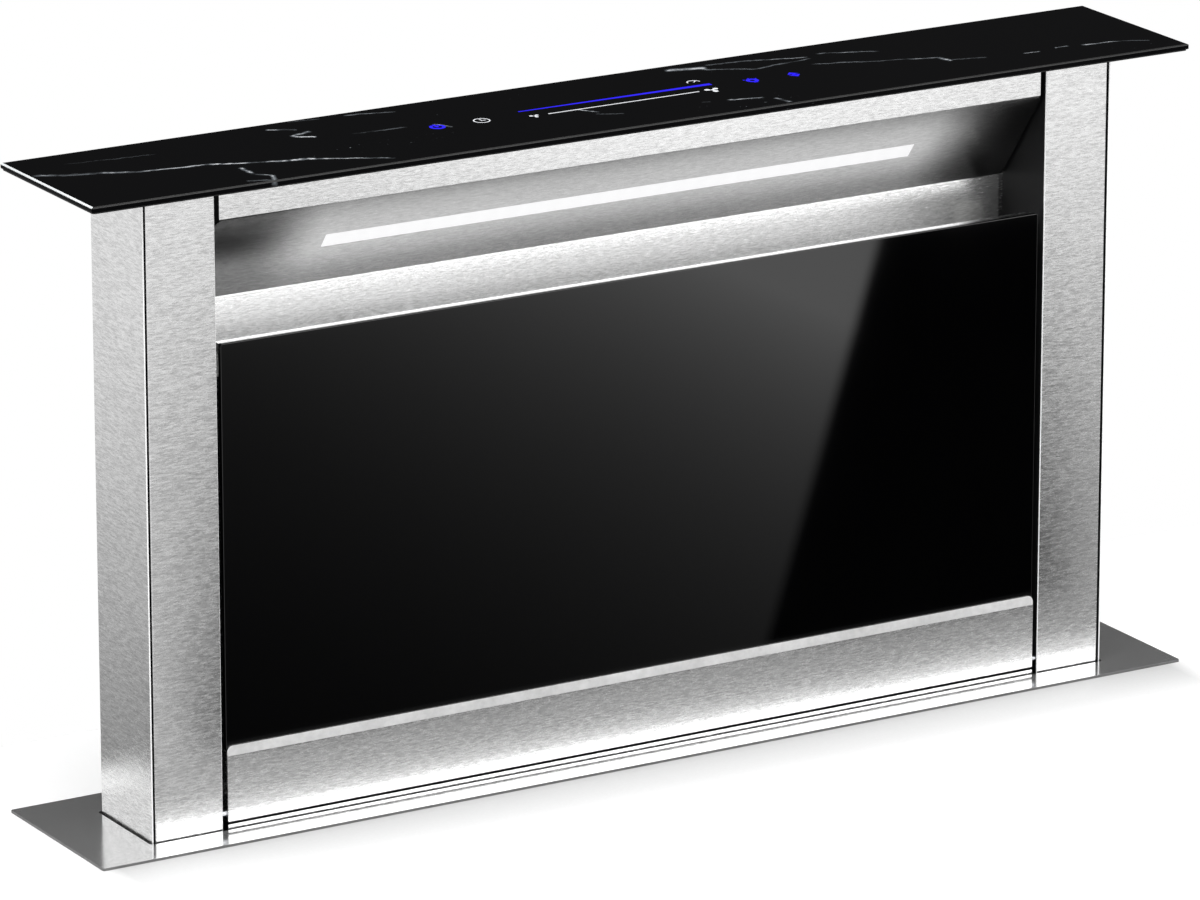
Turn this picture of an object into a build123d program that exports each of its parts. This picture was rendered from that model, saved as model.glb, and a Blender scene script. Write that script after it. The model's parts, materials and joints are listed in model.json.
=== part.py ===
from build123d import *
import math
import os

os.makedirs("parts", exist_ok=True)

# Downdraft vent for a kitchen worktop, tower raised. Millimetres.
# The origin is the centre of the flange's underside, which lies on the worktop.
# +X runs to the right, -Y to the front, +Z up.

# ---------------------------------------------------------------- glass top and flange
top_width = 880.0
top_depth = 136.0
glass_thickness = 4.0
glass_corner = 2.0
tray_sheet = 1.0
tray_inset = 1.0
show_height = 463.0  # from the flange's upper face to the glass top's upper face
flange_margin = 2.0  # how far the flange stands out past the glass top, all round
flange_thickness = 2.0
flange_rebate = 0.5  # seat in the flange's underside for the housing's upper edge
flange_corner = 1.5
slot_clearance = 2.0  # between the tower and the slot in the flange
slot_chamfer = 3.4
touch_width = 340.0  # board with the touch controls, set in the tray
touch_depth = 52.0
touch_centre = (4.0, 3.0)

# ---------------------------------------------------------------- tower
end_overhang = 50.0  # of the glass top past the tower
front_overhang = 26.0
back_overhang = 34.0
column_width = 55.0
sheet = 1.0
seam_gap = 1.6  # between a column's side cover and its front
seam_return = 10.0
rear_lip = 25.0
rear_seam = 15.0  # from a column's inner face to the seam beside the rear panel
rear_screw_in = 10.0  # from a column's inner face to the rear panel's screws
panel_gap = 4.0  # between a column and the panels between the columns
fit_gap = 0.3  # between pieces that seat on each other
tower_engagement = 78.0  # what stays below the worktop plane when raised
base_thickness = 3.0
sill_show = 3.0  # sill panel that shows above the flange
fascia_height = 25.0
fascia_recess = 1.0
fascia_return = 16.0
lamp_gap = 2.0  # between a column and the lamp panel
lamp_set_back = 52.0
lamp_drop = 68.6
lamp_notch = (3.0, 4.8)  # off the lamp panel's two upper corners
slot_length = 476.0  # light slot
slot_height = 13.8
slot_down = 34.0  # along the slope, from the lamp panel's top edge
light_border = 8.0
light_wall = 1.5
light_depth = 12.0
diffuser_thickness = 3.0
led_board_thickness = 1.6
shelf_top = 332.0
shelf_reach = 23.0
shelf_fall = 7.0
shelf_lip = 6.5

# ---------------------------------------------------------------- door
door_top = 348.0
door_gap = 1.4  # between the sill and the door's foot
door_glass_thickness = 4.0
door_glass_recess = 1.8
door_glass_low = 57.0
trim_height = 55.1
trim_sheet = 1.0
trim_lip = 7.0
trim_corner = 4.0
trim_return = 11.0
pan_sheet = 0.8
pan_edge = 6.8
pan_low_gap = 9.6  # from the door's foot to the pan
pan_side_gap = 1.1
pan_top_gap = 0.8
pin_radius = 2.0
pin_recess = 3.4  # from the trim's face to the pin's axis
pin_rise = 6.0  # from the door's foot to the pin's axis
pin_reach = 7.0
pin_lug = (6.0, 4.4, 9.8)
lug_gap = 0.1
bush_size = (4.0, 8.4, 10.0)
running_gap = 0.05
magnet_size = (17.0, 12.0, 15.0)
magnet_drop = 11.0
magnet_gap = 0.4

# ---------------------------------------------------------------- grease filters
carrier_face = 1.0  # Y of the filter carrier's front face
carrier_ledge = 25.0
carrier_lip = 8.0
carrier_border = 12.0
carrier_rise = 2.0  # above the back wall's top edge
carrier_drop = 3.0  # from the back wall's shelf to the carrier's bend
ledge_height = 22.0
filter_gap = 3.0
filter_thickness = 9.0
filter_border = 9.0
filter_head = 20.0
filter_top = 316.0
mesh_thickness = 7.0
latch_width = 24.0
latch_height = 27.0
latch_thickness = 2.4
latch_tongue = 7.0  # how far the latch stands above the filter
knob_size = (16.0, 6.3, 12.0)
knob_down = 13.0
latch_guide = 3.0
guide_end = 1.0  # from the filter head's edges to the ends of the latch's guides

# ---------------------------------------------------------------- housing and lift
housing_sheet = 1.2
housing_room = 18.8  # between the tower and the housing, front and back
guide_room = 14.8  # between the tower and the housing, at each end
park_gap = 3.0  # between the tray and the flange when the tower is down
foot_room = 67.0  # under the tower's base when it is down
seal_thickness = 4.0
seal_gap = 0.4
rail_width = 28.0
rail_depth = 11.0
rail_sheet = 1.5
rail_top_gap = 12.0
rail_foot_gap = 10.0
glide_height = 56.0
glide_gap = 0.4
glide_foot = 4.0
screw_radius = 6.0
journal_radius = 5.0
shaft_clearance = 2.0  # round a shaft that passes through a sheet
screw_chamfer = 1.0
screw_top_gap = 35.0
nut_radius = 13.0
nut_length = 24.0
nut_flange_radius = 21.0
nut_flange = 6.0
bearing_radius = 17.0
bearing_height = 16.0
bearing_foot = 44.0
bearing_plate = 4.0
pulley_radius = 12.0
pulley_flange_radius = 15.0
pulley_flange = 1.4
pulley_width = 12.0
pulley_lift = 2.8
belt_thickness = 1.6
belt_gap = 0.3
gearbox_radius = 22.0
gearbox_height = 42.0
motor_radius = 19.0
motor_height = 62.0
motor_round = 2.0
drive_depth = 14.0
bracket_sheet = 2.0
bracket_width = 96.0
bracket_drop = 40.0
bracket_reach = 32.0
bracket_hole_out = 19.2  # from the housing's side to the bracket's holes
bracket_hole_radius = 2.6
bracket_hole_spacing = 60.0
worktop_thickness = 38.0
bolt_radius = 2.5
bolt_head_radius = 4.6
bolt_head = 3.5
bolt_spacing = 72.0
bolt_drop = 24.0
rear_screw_radius = 2.0
rear_screw_head = rear_screw_radius + sheet
countersink_angle = 45.0
rear_screw_length = 6.0
rear_screw_heights = (30.0, 165.0, 300.0, 435.0)

# ---------------------------------------------------------------- blower and duct
blower_centre = (0.0, -330.0)  # X and Z
scroll_radius = 112.0  # where the spiral starts
scroll_step = 18.0  # the spiral's centre square
scroll_depth = 98.0
scroll_sheet = 1.5
throat_start = 20.0
neck_length = 58.0  # straight outlet below the spiral's start
inlet_radius = 80.0
wheel_radius = 98.0
wheel_depth = 78.0
wheel_clearance = 4.0
wheel_disc = 2.0
wheel_ring = 14.0
wheel_ring_sheet = 2.2
blade_setback = 1.0  # from the blades' tips to the wheel's rim
blade_count = 36
blade_length = 17.0
blade_thickness = 1.2
hub_radius = 16.0
hub_length = 26.0
shaft_radius = 4.0
shaft_in_motor = 23.0
shaft_end_gap = 1.0
blower_motor_radius = 55.0
blower_motor_depth = 46.0
blower_motor_round = 4.0
duct_radius = 75.0
duct_wall = 1.5
transition_length = 60.0
collar_length = 70.0
duct_shift = 76.5  # from the housing's front to the duct's axis
flap_down = 40.0
flap_thickness = 1.2
flap_gap = 0.7
flap_root = 3.4
flap_pin_radius = 1.5
knuckle_radius = 3.0
knuckle_length = 20.0
knuckle_pitch = 22.0
knuckle_count = 4  # on both flaps together, by turns

# ---------------------------------------------------------------- control box
box_width = 170.0
box_height = 190.0
box_depth = 50.0
box_wall = 2.0
box_end_gap = 26.0  # from the housing's end to the box
box_top = -230.0
lid_thickness = 2.0
lid_round = 2.0
board_thickness = 1.6
board_margin = 8.0
board_post = 6.0
post_margin = 16.0
gland_bore_radius = 3.6
gland_radius = 9.0
gland_hex = 11.0
gland_hex_height = 6.0
gland_dome = 16.0
gland_thread_radius = 7.0
gland_thread = 8.0

# ---------------------------------------------------------------- places worked out from the sizes
flange_width = top_width + 2 * flange_margin
flange_depth = top_depth + 2 * flange_margin
tower_width = top_width - 2 * end_overhang
tower_depth = top_depth - front_overhang - back_overhang
tower_front = front_overhang - top_depth / 2
glass_top = flange_thickness + show_height
glass_low = glass_top - glass_thickness
tower_top = glass_low - tray_sheet
tower_back = tower_front + tower_depth
tower_middle = (tower_front + tower_back) / 2
column_out = tower_width / 2
column_in = column_out - column_width
panel_half = column_in - panel_gap
base_low = -tower_engagement
base_top = base_low + base_thickness
lift_travel = tower_top - flange_thickness - park_gap
sill_top = flange_thickness + sill_show
fascia_face = tower_front + fascia_recess
fascia_low = tower_top - fascia_height
lamp_top = fascia_low - fit_gap - sheet
wall_face = fascia_face + lamp_set_back
wall_top = lamp_top - lamp_drop
lamp_slope = math.hypot(lamp_set_back, lamp_drop)
lamp_down = Vector(0, lamp_set_back, -lamp_drop).normalized()
lamp_normal = Vector(0, lamp_down.Z, -lamp_down.Y)
lamp_plane = Plane(origin=(0, fascia_face, lamp_top), x_dir=(1, 0, 0), z_dir=lamp_normal)
rear_half = column_in + rear_seam
rear_screw_x = column_in + rear_screw_in

door_low = sill_top + door_gap
trim_face = tower_front
trim_top = door_low + trim_height
door_glass_face = trim_face + door_glass_recess
door_glass_back = door_glass_face + door_glass_thickness
pan_back = door_glass_back + pan_edge
pin_y = trim_face + pin_recess
pin_z = door_low + pin_rise

housing_front_in = tower_front - housing_room
housing_back_in = tower_back + housing_room
housing_half_in = column_out + guide_room
housing_front_out = housing_front_in - housing_sheet
housing_back_out = housing_back_in + housing_sheet
housing_half_out = housing_half_in + housing_sheet
housing_floor = base_low - lift_travel - foot_room
housing_low = housing_floor - housing_sheet
screw_x = (column_in + column_out) / 2
screw_y = tower_middle
pulley_low = housing_floor + bearing_height + pulley_lift
pulley_top = pulley_low + pulley_width


def panel(x_a, y_a, x_b, y_b, mode=Mode.ADD):
    """A rectangle between two corners of the sketch that is open."""
    with Locations(((x_a + x_b) / 2, (y_a + y_b) / 2)):
        Rectangle(abs(x_b - x_a), abs(y_b - y_a), mode=mode)


# ================================================================ top plate
with BuildPart() as top_glass:
    with BuildSketch(Plane.XY.offset(glass_low)):
        RectangleRounded(top_width, top_depth, glass_corner)
    extrude(amount=glass_thickness)
top_glass.part.label = "top_glass"
export_step(top_glass.part, "parts/top_glass.step")

with BuildPart() as top_tray:
    with BuildSketch(Plane.XY.offset(tower_top)):
        RectangleRounded(top_width - 2 * tray_inset, top_depth - 2 * tray_inset, glass_corner)
        with Locations(touch_centre):
            Rectangle(touch_width + 2 * fit_gap, touch_depth + 2 * fit_gap, mode=Mode.SUBTRACT)
    extrude(amount=tray_sheet)
top_tray.part.label = "top_tray"
export_step(top_tray.part, "parts/top_tray.step")

with BuildPart() as touch_board:
    with BuildSketch(Plane.XY.offset(tower_top)):
        with Locations(touch_centre):
            Rectangle(touch_width, touch_depth)
    extrude(amount=tray_sheet)
touch_board.part.label = "touch_board"
export_step(touch_board.part, "parts/touch_board.step")

# ================================================================ columns
for side, s in (("left", -1), ("right", 1)):
    with BuildPart() as column_side:
        with BuildSketch(Plane.XY.offset(base_top)):
            panel(s * (column_out - sheet), tower_front, s * column_out, tower_back)
            panel(s * (rear_half + fit_gap), tower_back - sheet, s * column_out, tower_back)
        extrude(amount=tower_top - base_top)
    column_side.part.label = f"{side}_column_side"
    export_step(column_side.part, f"parts/{side}_column_side.step")

    front_out = column_out - sheet - seam_gap
    with BuildPart() as column_front:
        with BuildSketch(Plane.XY.offset(base_top)):
            panel(s * column_in, tower_front, s * front_out, tower_front + sheet)
            panel(s * (front_out - sheet), tower_front, s * front_out, tower_front + seam_return)
            panel(s * column_in, tower_front, s * (column_in + sheet), tower_back - sheet)
            panel(s * column_in, tower_back - 2 * sheet, s * (column_in + rear_lip), tower_back - sheet)
        extrude(amount=tower_top - base_top)
        with BuildSketch(Plane.YZ.offset(s * column_in)):
            with Locations((pin_y, pin_z)):
                Circle(pin_radius + fit_gap)
        extrude(amount=s * sheet, mode=Mode.SUBTRACT)
        with BuildSketch(Plane.XZ.offset(-tower_back + sheet)):
            with Locations(*[(s * rear_screw_x, z) for z in rear_screw_heights]):
                Circle(rear_screw_radius + running_gap)
        extrude(amount=sheet, mode=Mode.SUBTRACT)
    column_front.part.label = f"{side}_column_front"
    export_step(column_front.part, f"parts/{side}_column_front.step")

# ================================================================ rear panel
rear_screw_places = [(s * rear_screw_x, z) for s in (-1, 1) for z in rear_screw_heights]

with BuildPart() as rear_panel:
    with BuildSketch(Plane.XZ.offset(-tower_back)):
        panel(-rear_half, base_top, rear_half, tower_top)
    extrude(amount=sheet)
    with BuildSketch(Plane.XZ.offset(-tower_back)):
        with Locations(*rear_screw_places):
            Circle(rear_screw_head + running_gap)
    extrude(amount=sheet, taper=countersink_angle, mode=Mode.SUBTRACT)
rear_panel.part.label = "rear_panel"
export_step(rear_panel.part, "parts/rear_panel.step")

with BuildPart() as rear_panel_screws:
    with BuildSketch(Plane.XZ.offset(-tower_back)):
        with Locations(*rear_screw_places):
            Circle(rear_screw_radius)
    extrude(amount=rear_screw_length)
    with BuildSketch(Plane.XZ.offset(-tower_back)):
        with Locations(*rear_screw_places):
            Circle(rear_screw_head)
    extrude(amount=sheet, taper=countersink_angle)
rear_panel_screws.part.label = "rear_panel_screws"
export_step(rear_panel_screws.part, "parts/rear_panel_screws.step")

# ================================================================ fascia, lamp panel and light
with BuildPart() as top_fascia:
    with BuildSketch(Plane.YZ.offset(-panel_half)):
        panel(fascia_face, fascia_low, fascia_face + sheet, tower_top)
        panel(fascia_face, tower_top - sheet, fascia_face + fascia_return, tower_top)
    extrude(amount=2 * panel_half)
top_fascia.part.label = "top_fascia"
export_step(top_fascia.part, "parts/top_fascia.step")

lamp_half = column_in - lamp_gap
light_middle = -slot_down - slot_height / 2
light_width = slot_length + 2 * light_border
light_height = slot_height + 2 * light_border

with BuildPart() as lamp_panel:
    with BuildSketch(lamp_plane):
        with BuildLine():
            Polyline(
                (-lamp_half, -lamp_slope),
                (lamp_half, -lamp_slope),
                (lamp_half, -lamp_notch[1]),
                (lamp_half - lamp_notch[0], 0),
                (-lamp_half + lamp_notch[0], 0),
                (-lamp_half, -lamp_notch[1]),
                close=True,
            )
        make_face()
        with Locations((0, light_middle)):
            Rectangle(slot_length, slot_height, mode=Mode.SUBTRACT)
    extrude(amount=-sheet)
lamp_panel.part.label = "lamp_panel"
export_step(lamp_panel.part, "parts/lamp_panel.step")

light_plane = lamp_plane.offset(-sheet)
with BuildPart() as led_housing:
    with BuildSketch(light_plane):
        with Locations((0, light_middle)):
            Rectangle(light_width, light_height)
    extrude(amount=-light_depth)
    with BuildSketch(light_plane):
        with Locations((0, light_middle)):
            Rectangle(light_width - 2 * light_wall, light_height - 2 * light_wall)
    extrude(amount=-(light_depth - light_wall), mode=Mode.SUBTRACT)
led_housing.part.label = "led_housing"
export_step(led_housing.part, "parts/led_housing.step")

with BuildPart() as led_diffuser:
    with BuildSketch(light_plane):
        with Locations((0, light_middle)):
            Rectangle(
                light_width - 2 * (light_wall + fit_gap),
                light_height - 2 * (light_wall + fit_gap),
            )
    extrude(amount=-diffuser_thickness)
led_diffuser.part.label = "led_diffuser"
export_step(led_diffuser.part, "parts/led_diffuser.step")

with BuildPart() as led_board:
    with BuildSketch(light_plane.offset(-(light_depth - light_wall))):
        with Locations((0, light_middle)):
            Rectangle(
                light_width - 2 * (light_wall + fit_gap),
                light_height - 2 * (light_wall + fit_gap),
            )
    extrude(amount=led_board_thickness)
led_board.part.label = "led_board"
export_step(led_board.part, "parts/led_board.step")

# ================================================================ back wall and filter carrier
with BuildPart() as back_wall:
    with BuildSketch(Plane.YZ.offset(-panel_half)):
        with BuildLine():
            wall_line = Polyline(
                (wall_face, wall_top - fit_gap),
                (wall_face, shelf_top),
                (wall_face - shelf_reach, shelf_top - shelf_fall),
                (wall_face - shelf_reach, shelf_top - shelf_fall - shelf_lip),
            )
            offset(wall_line, amount=sheet, side=Side.LEFT, kind=Kind.INTERSECTION)
        make_face()
    extrude(amount=2 * panel_half)
back_wall.part.label = "back_wall"
export_step(back_wall.part, "parts/back_wall.step")

carrier_back = wall_face + sheet
filter_width = (2 * column_in - 3 * filter_gap) / 2
filter_centre_x = (filter_gap + filter_width) / 2
window_low = ledge_height + carrier_border
window_top = filter_top - carrier_border
with BuildPart() as filter_carrier:
    with BuildSketch(Plane.YZ.offset(-column_in)):
        with BuildLine():
            carrier_line = Polyline(
                (carrier_back, wall_top + carrier_rise),
                (carrier_back, shelf_top - carrier_drop),
                (carrier_face, shelf_top - shelf_fall - carrier_drop),
                (carrier_face, ledge_height),
                (carrier_face - carrier_ledge, ledge_height),
                (carrier_face - carrier_ledge, ledge_height + carrier_lip),
            )
            offset(carrier_line, amount=sheet, side=Side.LEFT, kind=Kind.INTERSECTION)
        make_face()
    extrude(amount=2 * column_in)
    with BuildSketch(Plane.XZ.offset(-carrier_face)):
        for s in (-1, 1):
            window_in = filter_centre_x - filter_width / 2 + carrier_border
            window_out = filter_centre_x + filter_width / 2 - carrier_border
            panel(s * window_in, window_low, s * window_out, window_top)
    extrude(amount=-sheet, mode=Mode.SUBTRACT)
filter_carrier.part.label = "filter_carrier"
export_step(filter_carrier.part, "parts/filter_carrier.step")

# ================================================================ grease filters and their latches
filter_low = ledge_height + fit_gap
filter_front = carrier_face - filter_thickness
latch_front = filter_front - fit_gap - latch_thickness
latch_top = filter_top + latch_tongue
for side, s in (("left", -1), ("right", 1)):
    centre = s * filter_centre_x
    with BuildPart() as filter_frame:
        with BuildSketch(Plane.XZ.offset(-carrier_face)):
            panel(centre - filter_width / 2, filter_low, centre + filter_width / 2, filter_top)
            panel(
                centre - filter_width / 2 + filter_border,
                filter_low + filter_border,
                centre + filter_width / 2 - filter_border,
                filter_top - filter_head,
                mode=Mode.SUBTRACT,
            )
        extrude(amount=filter_thickness)
        with BuildSketch(Plane.XZ.offset(-filter_front)):
            for edge in (-1, 1):
                inner = centre + edge * (latch_width / 2 + fit_gap)
                panel(
                    inner,
                    filter_top - filter_head + guide_end,
                    inner + edge * latch_guide,
                    filter_top - guide_end,
                )
        extrude(amount=latch_guide)
    filter_frame.part.label = f"{side}_filter_frame"
    export_step(filter_frame.part, f"parts/{side}_filter_frame.step")

    with BuildPart() as filter_mesh:
        with BuildSketch(Plane.XZ.offset(-carrier_face + (filter_thickness - mesh_thickness) / 2)):
            panel(
                centre - filter_width / 2 + filter_border + fit_gap,
                filter_low + filter_border + fit_gap,
                centre + filter_width / 2 - filter_border - fit_gap,
                filter_top - filter_head - fit_gap,
            )
        extrude(amount=mesh_thickness)
    filter_mesh.part.label = f"{side}_filter_mesh"
    export_step(filter_mesh.part, f"parts/{side}_filter_mesh.step")

    with BuildPart() as filter_latch:
        with BuildSketch(Plane.XZ.offset(-(filter_front - fit_gap))):
            panel(centre - latch_width / 2, latch_top - latch_height, centre + latch_width / 2, latch_top)
        extrude(amount=latch_thickness)
        with BuildSketch(Plane.XZ.offset(-latch_front)):
            panel(
                centre - knob_size[0] / 2,
                latch_top - knob_down - knob_size[2],
                centre + knob_size[0] / 2,
                latch_top - knob_down,
            )
        extrude(amount=knob_size[1])
    filter_latch.part.label = f"{side}_filter_latch"
    export_step(filter_latch.part, f"parts/{side}_filter_latch.step")

# ================================================================ sill and tower base
with BuildPart() as sill_panel:
    with BuildSketch(Plane.XZ.offset(-(tower_front + sheet))):
        panel(-panel_half, base_top, panel_half, sill_top)
    extrude(amount=sheet)
sill_panel.part.label = "sill_panel"
export_step(sill_panel.part, "parts/sill_panel.step")

with BuildPart() as tower_base:
    with BuildSketch(Plane.XY.offset(base_low)):
        panel(-column_out, tower_front, column_out, tower_back)
        panel(
            -column_in + carrier_border,
            carrier_face + sheet,
            column_in - carrier_border,
            tower_back - 2 * sheet,
            mode=Mode.SUBTRACT,
        )
        with Locations((-screw_x, screw_y), (screw_x, screw_y)):
            Circle(nut_radius + running_gap, mode=Mode.SUBTRACT)
    extrude(amount=base_thickness)
tower_base.part.label = "tower_base"
export_step(tower_base.part, "parts/tower_base.step")

# ================================================================ screw nuts and glide blocks
with BuildPart() as screw_nuts:
    with BuildSketch(Plane.XY.offset(base_low - nut_flange)):
        with Locations((-screw_x, screw_y), (screw_x, screw_y)):
            Circle(nut_flange_radius)
    extrude(amount=nut_flange)
    with BuildSketch(Plane.XY.offset(base_low)):
        with Locations((-screw_x, screw_y), (screw_x, screw_y)):
            Circle(nut_radius)
    extrude(amount=nut_length)
    with BuildSketch(Plane.XY.offset(base_low - nut_flange)):
        with Locations((-screw_x, screw_y), (screw_x, screw_y)):
            Circle(screw_radius + running_gap)
    extrude(amount=nut_flange + nut_length, mode=Mode.SUBTRACT)
screw_nuts.part.label = "screw_nuts"
export_step(screw_nuts.part, "parts/screw_nuts.step")

glide_low = base_low + glide_foot
with BuildPart() as glide_blocks:
    with BuildSketch(Plane.XY.offset(glide_low)):
        for s in (-1, 1):
            panel(
                s * column_out,
                screw_y - rail_width / 2 + rail_sheet + glide_gap,
                s * (housing_half_in - rail_sheet - glide_gap),
                screw_y + rail_width / 2 - rail_sheet - glide_gap,
            )
    extrude(amount=glide_height)
glide_blocks.part.label = "glide_blocks"
export_step(glide_blocks.part, "parts/glide_blocks.step")

# ================================================================ door
with BuildPart() as front_glass:
    with BuildSketch(Plane.XZ.offset(-door_glass_back)):
        panel(-panel_half, door_glass_low, panel_half, door_top)
    extrude(amount=door_glass_thickness)
front_glass.part.label = "front_glass"
export_step(front_glass.part, "parts/front_glass.step")

pan_half = panel_half - pan_side_gap
pan_low = door_low + pan_low_gap
pan_top = door_top - pan_top_gap
with BuildPart() as door_pan:
    with BuildSketch(Plane.XZ.offset(-pan_back)):
        panel(-pan_half, pan_low, pan_half, pan_top)
    extrude(amount=pan_edge)
    with BuildSketch(Plane.XZ.offset(-pan_back)):
        panel(-pan_half + pan_sheet, pan_low + pan_sheet, pan_half - pan_sheet, pan_top - pan_sheet)
    extrude(amount=pan_edge - pan_sheet, mode=Mode.SUBTRACT)
door_pan.part.label = "door_pan"
export_step(door_pan.part, "parts/door_pan.step")

lip_low = trim_top - trim_lip
lip_back = door_glass_face - trim_sheet - running_gap
with BuildPart() as door_trim:
    with BuildSketch(Plane.YZ.offset(-panel_half)):
        with BuildLine():
            Polyline(
                (trim_face, door_low),
                (trim_face, lip_low),
                (lip_back, trim_top),
                (lip_back + trim_sheet, trim_top),
                (trim_face + trim_sheet, lip_low),
                (trim_face + trim_sheet, door_low + trim_sheet),
                (trim_face + trim_return, door_low + trim_sheet),
                (trim_face + trim_return, door_low),
                close=True,
            )
        make_face()
    extrude(amount=2 * panel_half)
    cheek_top = door_glass_low - fit_gap
    with BuildSketch(Plane.XZ.offset(-(trim_face + trim_return))):
        panel(-panel_half, door_low, panel_half, cheek_top)
        panel(-panel_half + trim_sheet, door_low, panel_half - trim_sheet, cheek_top, mode=Mode.SUBTRACT)
    extrude(amount=trim_return)
    with BuildSketch(Plane.XZ.offset(-(trim_face + trim_return))):
        panel(-panel_half, door_low, panel_half, trim_top)
    extrude(amount=trim_return, mode=Mode.INTERSECT)
    with BuildSketch(Plane.YZ.offset(-panel_half)):
        with Locations((pin_y, pin_z)):
            Circle(pin_radius + running_gap)
    extrude(amount=2 * panel_half, mode=Mode.SUBTRACT)
    top_corners = door_trim.edges().filter_by(Axis.Y).group_by(Axis.Z)[-1]
    fillet(top_corners, radius=trim_corner)
door_trim.part.label = "door_trim"
export_step(door_trim.part, "parts/door_trim.step")

lug_face = panel_half - trim_sheet
lug_front = trim_face + trim_sheet + lug_gap
lug_low = door_low + trim_sheet + lug_gap
with BuildPart() as hinge_pins:
    for s in (-1, 1):
        with BuildSketch(Plane.YZ.offset(s * (lug_face - pin_lug[0]))):
            panel(lug_front, lug_low, lug_front + pin_lug[1], lug_low + pin_lug[2])
        extrude(amount=s * pin_lug[0])
        with BuildSketch(Plane.YZ.offset(s * lug_face)):
            with Locations((pin_y, pin_z)):
                Circle(pin_radius)
        extrude(amount=s * (pin_reach + trim_sheet))
hinge_pins.part.label = "hinge_pins"
export_step(hinge_pins.part, "parts/hinge_pins.step")

with BuildPart() as hinge_bushes:
    for s in (-1, 1):
        with BuildSketch(Plane.YZ.offset(s * (column_in + sheet))):
            panel(
                tower_front + sheet,
                pin_z - bush_size[2] / 2,
                tower_front + sheet + bush_size[1],
                pin_z + bush_size[2] / 2,
            )
            with Locations((pin_y, pin_z)):
                Circle(pin_radius + running_gap, mode=Mode.SUBTRACT)
        extrude(amount=s * bush_size[0])
hinge_bushes.part.label = "hinge_bushes"
export_step(hinge_bushes.part, "parts/hinge_bushes.step")

with BuildPart() as door_magnets:
    with BuildSketch(Plane.XY.offset(door_top - magnet_drop - magnet_size[2])):
        for s in (-1, 1):
            panel(
                s * (column_in - magnet_size[0]),
                pan_back + magnet_gap,
                s * column_in,
                pan_back + magnet_gap + magnet_size[1],
            )
    extrude(amount=magnet_size[2])
door_magnets.part.label = "door_magnets"
export_step(door_magnets.part, "parts/door_magnets.step")

# ================================================================ flange and slot seal
with BuildPart() as flange_plate:
    with BuildSketch(Plane.XY):
        RectangleRounded(flange_width, flange_depth, flange_corner)
    extrude(amount=flange_thickness)
    with BuildSketch(Plane.XY) as slot_sketch:
        panel(
            -column_out - slot_clearance,
            tower_front - slot_clearance,
            column_out + slot_clearance,
            tower_back + slot_clearance,
        )
        chamfer(slot_sketch.vertices(), length=slot_chamfer)
    extrude(amount=flange_thickness, mode=Mode.SUBTRACT)
    with BuildSketch(Plane.XY):
        panel(
            -housing_half_out - fit_gap,
            housing_front_out - fit_gap,
            housing_half_out + fit_gap,
            housing_back_out + fit_gap,
        )
    extrude(amount=flange_rebate, mode=Mode.SUBTRACT)
flange_plate.part.label = "flange_plate"
export_step(flange_plate.part, "parts/flange_plate.step")

with BuildPart() as slot_seal:
    with BuildSketch(Plane.XY.offset(flange_rebate - seal_thickness)):
        panel(-housing_half_in, housing_front_in, housing_half_in, housing_back_in)
        panel(
            -column_out - seal_gap,
            tower_front - seal_gap,
            column_out + seal_gap,
            tower_back + seal_gap,
            mode=Mode.SUBTRACT,
        )
    extrude(amount=seal_thickness)
slot_seal.part.label = "slot_seal"
export_step(slot_seal.part, "parts/slot_seal.step")

# ================================================================ housing
with BuildPart() as housing_front:
    with BuildSketch(Plane.XZ.offset(-housing_front_in)):
        panel(-housing_half_in, housing_floor, housing_half_in, flange_rebate)
        with Locations(blower_centre):
            Circle(inlet_radius, mode=Mode.SUBTRACT)
    extrude(amount=housing_sheet)
housing_front.part.label = "housing_front"
export_step(housing_front.part, "parts/housing_front.step")

with BuildPart() as housing_rear:
    with BuildSketch(Plane.XZ.offset(-housing_back_out)):
        panel(-housing_half_in, housing_floor, housing_half_in, flange_rebate)
    extrude(amount=housing_sheet)
housing_rear.part.label = "housing_rear"
export_step(housing_rear.part, "parts/housing_rear.step")

bolt_places = [(tower_middle + bolt_spacing * t / 2, -worktop_thickness - bolt_drop) for t in (-1, 1)]
for side, s in (("left", -1), ("right", 1)):
    with BuildPart() as housing_side:
        with BuildSketch(Plane.YZ.offset(s * housing_half_in)):
            panel(housing_front_out, housing_floor, housing_back_out, flange_rebate)
            with Locations(*bolt_places):
                Circle(bolt_radius + running_gap, mode=Mode.SUBTRACT)
        extrude(amount=s * housing_sheet)
    housing_side.part.label = f"housing_{side}"
    export_step(housing_side.part, f"parts/housing_{side}.step")

    with BuildPart() as guide_rail:
        with BuildSketch(Plane.XY.offset(housing_floor + rail_foot_gap)):
            panel(
                s * (housing_half_in - rail_depth),
                screw_y - rail_width / 2,
                s * housing_half_in,
                screw_y + rail_width / 2,
            )
            panel(
                s * (housing_half_in - rail_depth),
                screw_y - rail_width / 2 + rail_sheet,
                s * (housing_half_in - rail_sheet),
                screw_y + rail_width / 2 - rail_sheet,
                mode=Mode.SUBTRACT,
            )
        extrude(amount=-rail_top_gap - housing_floor - rail_foot_gap)
    guide_rail.part.label = f"{side}_guide_rail"
    export_step(guide_rail.part, f"parts/{side}_guide_rail.step")

with BuildPart() as housing_bottom:
    with BuildSketch(Plane.XY.offset(housing_low)):
        panel(-housing_half_out, housing_front_out, housing_half_out, housing_back_out)
        with Locations((-screw_x, screw_y)):
            Circle(journal_radius + shaft_clearance, mode=Mode.SUBTRACT)
    extrude(amount=housing_sheet)
housing_bottom.part.label = "housing_bottom"
export_step(housing_bottom.part, "parts/housing_bottom.step")

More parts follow.
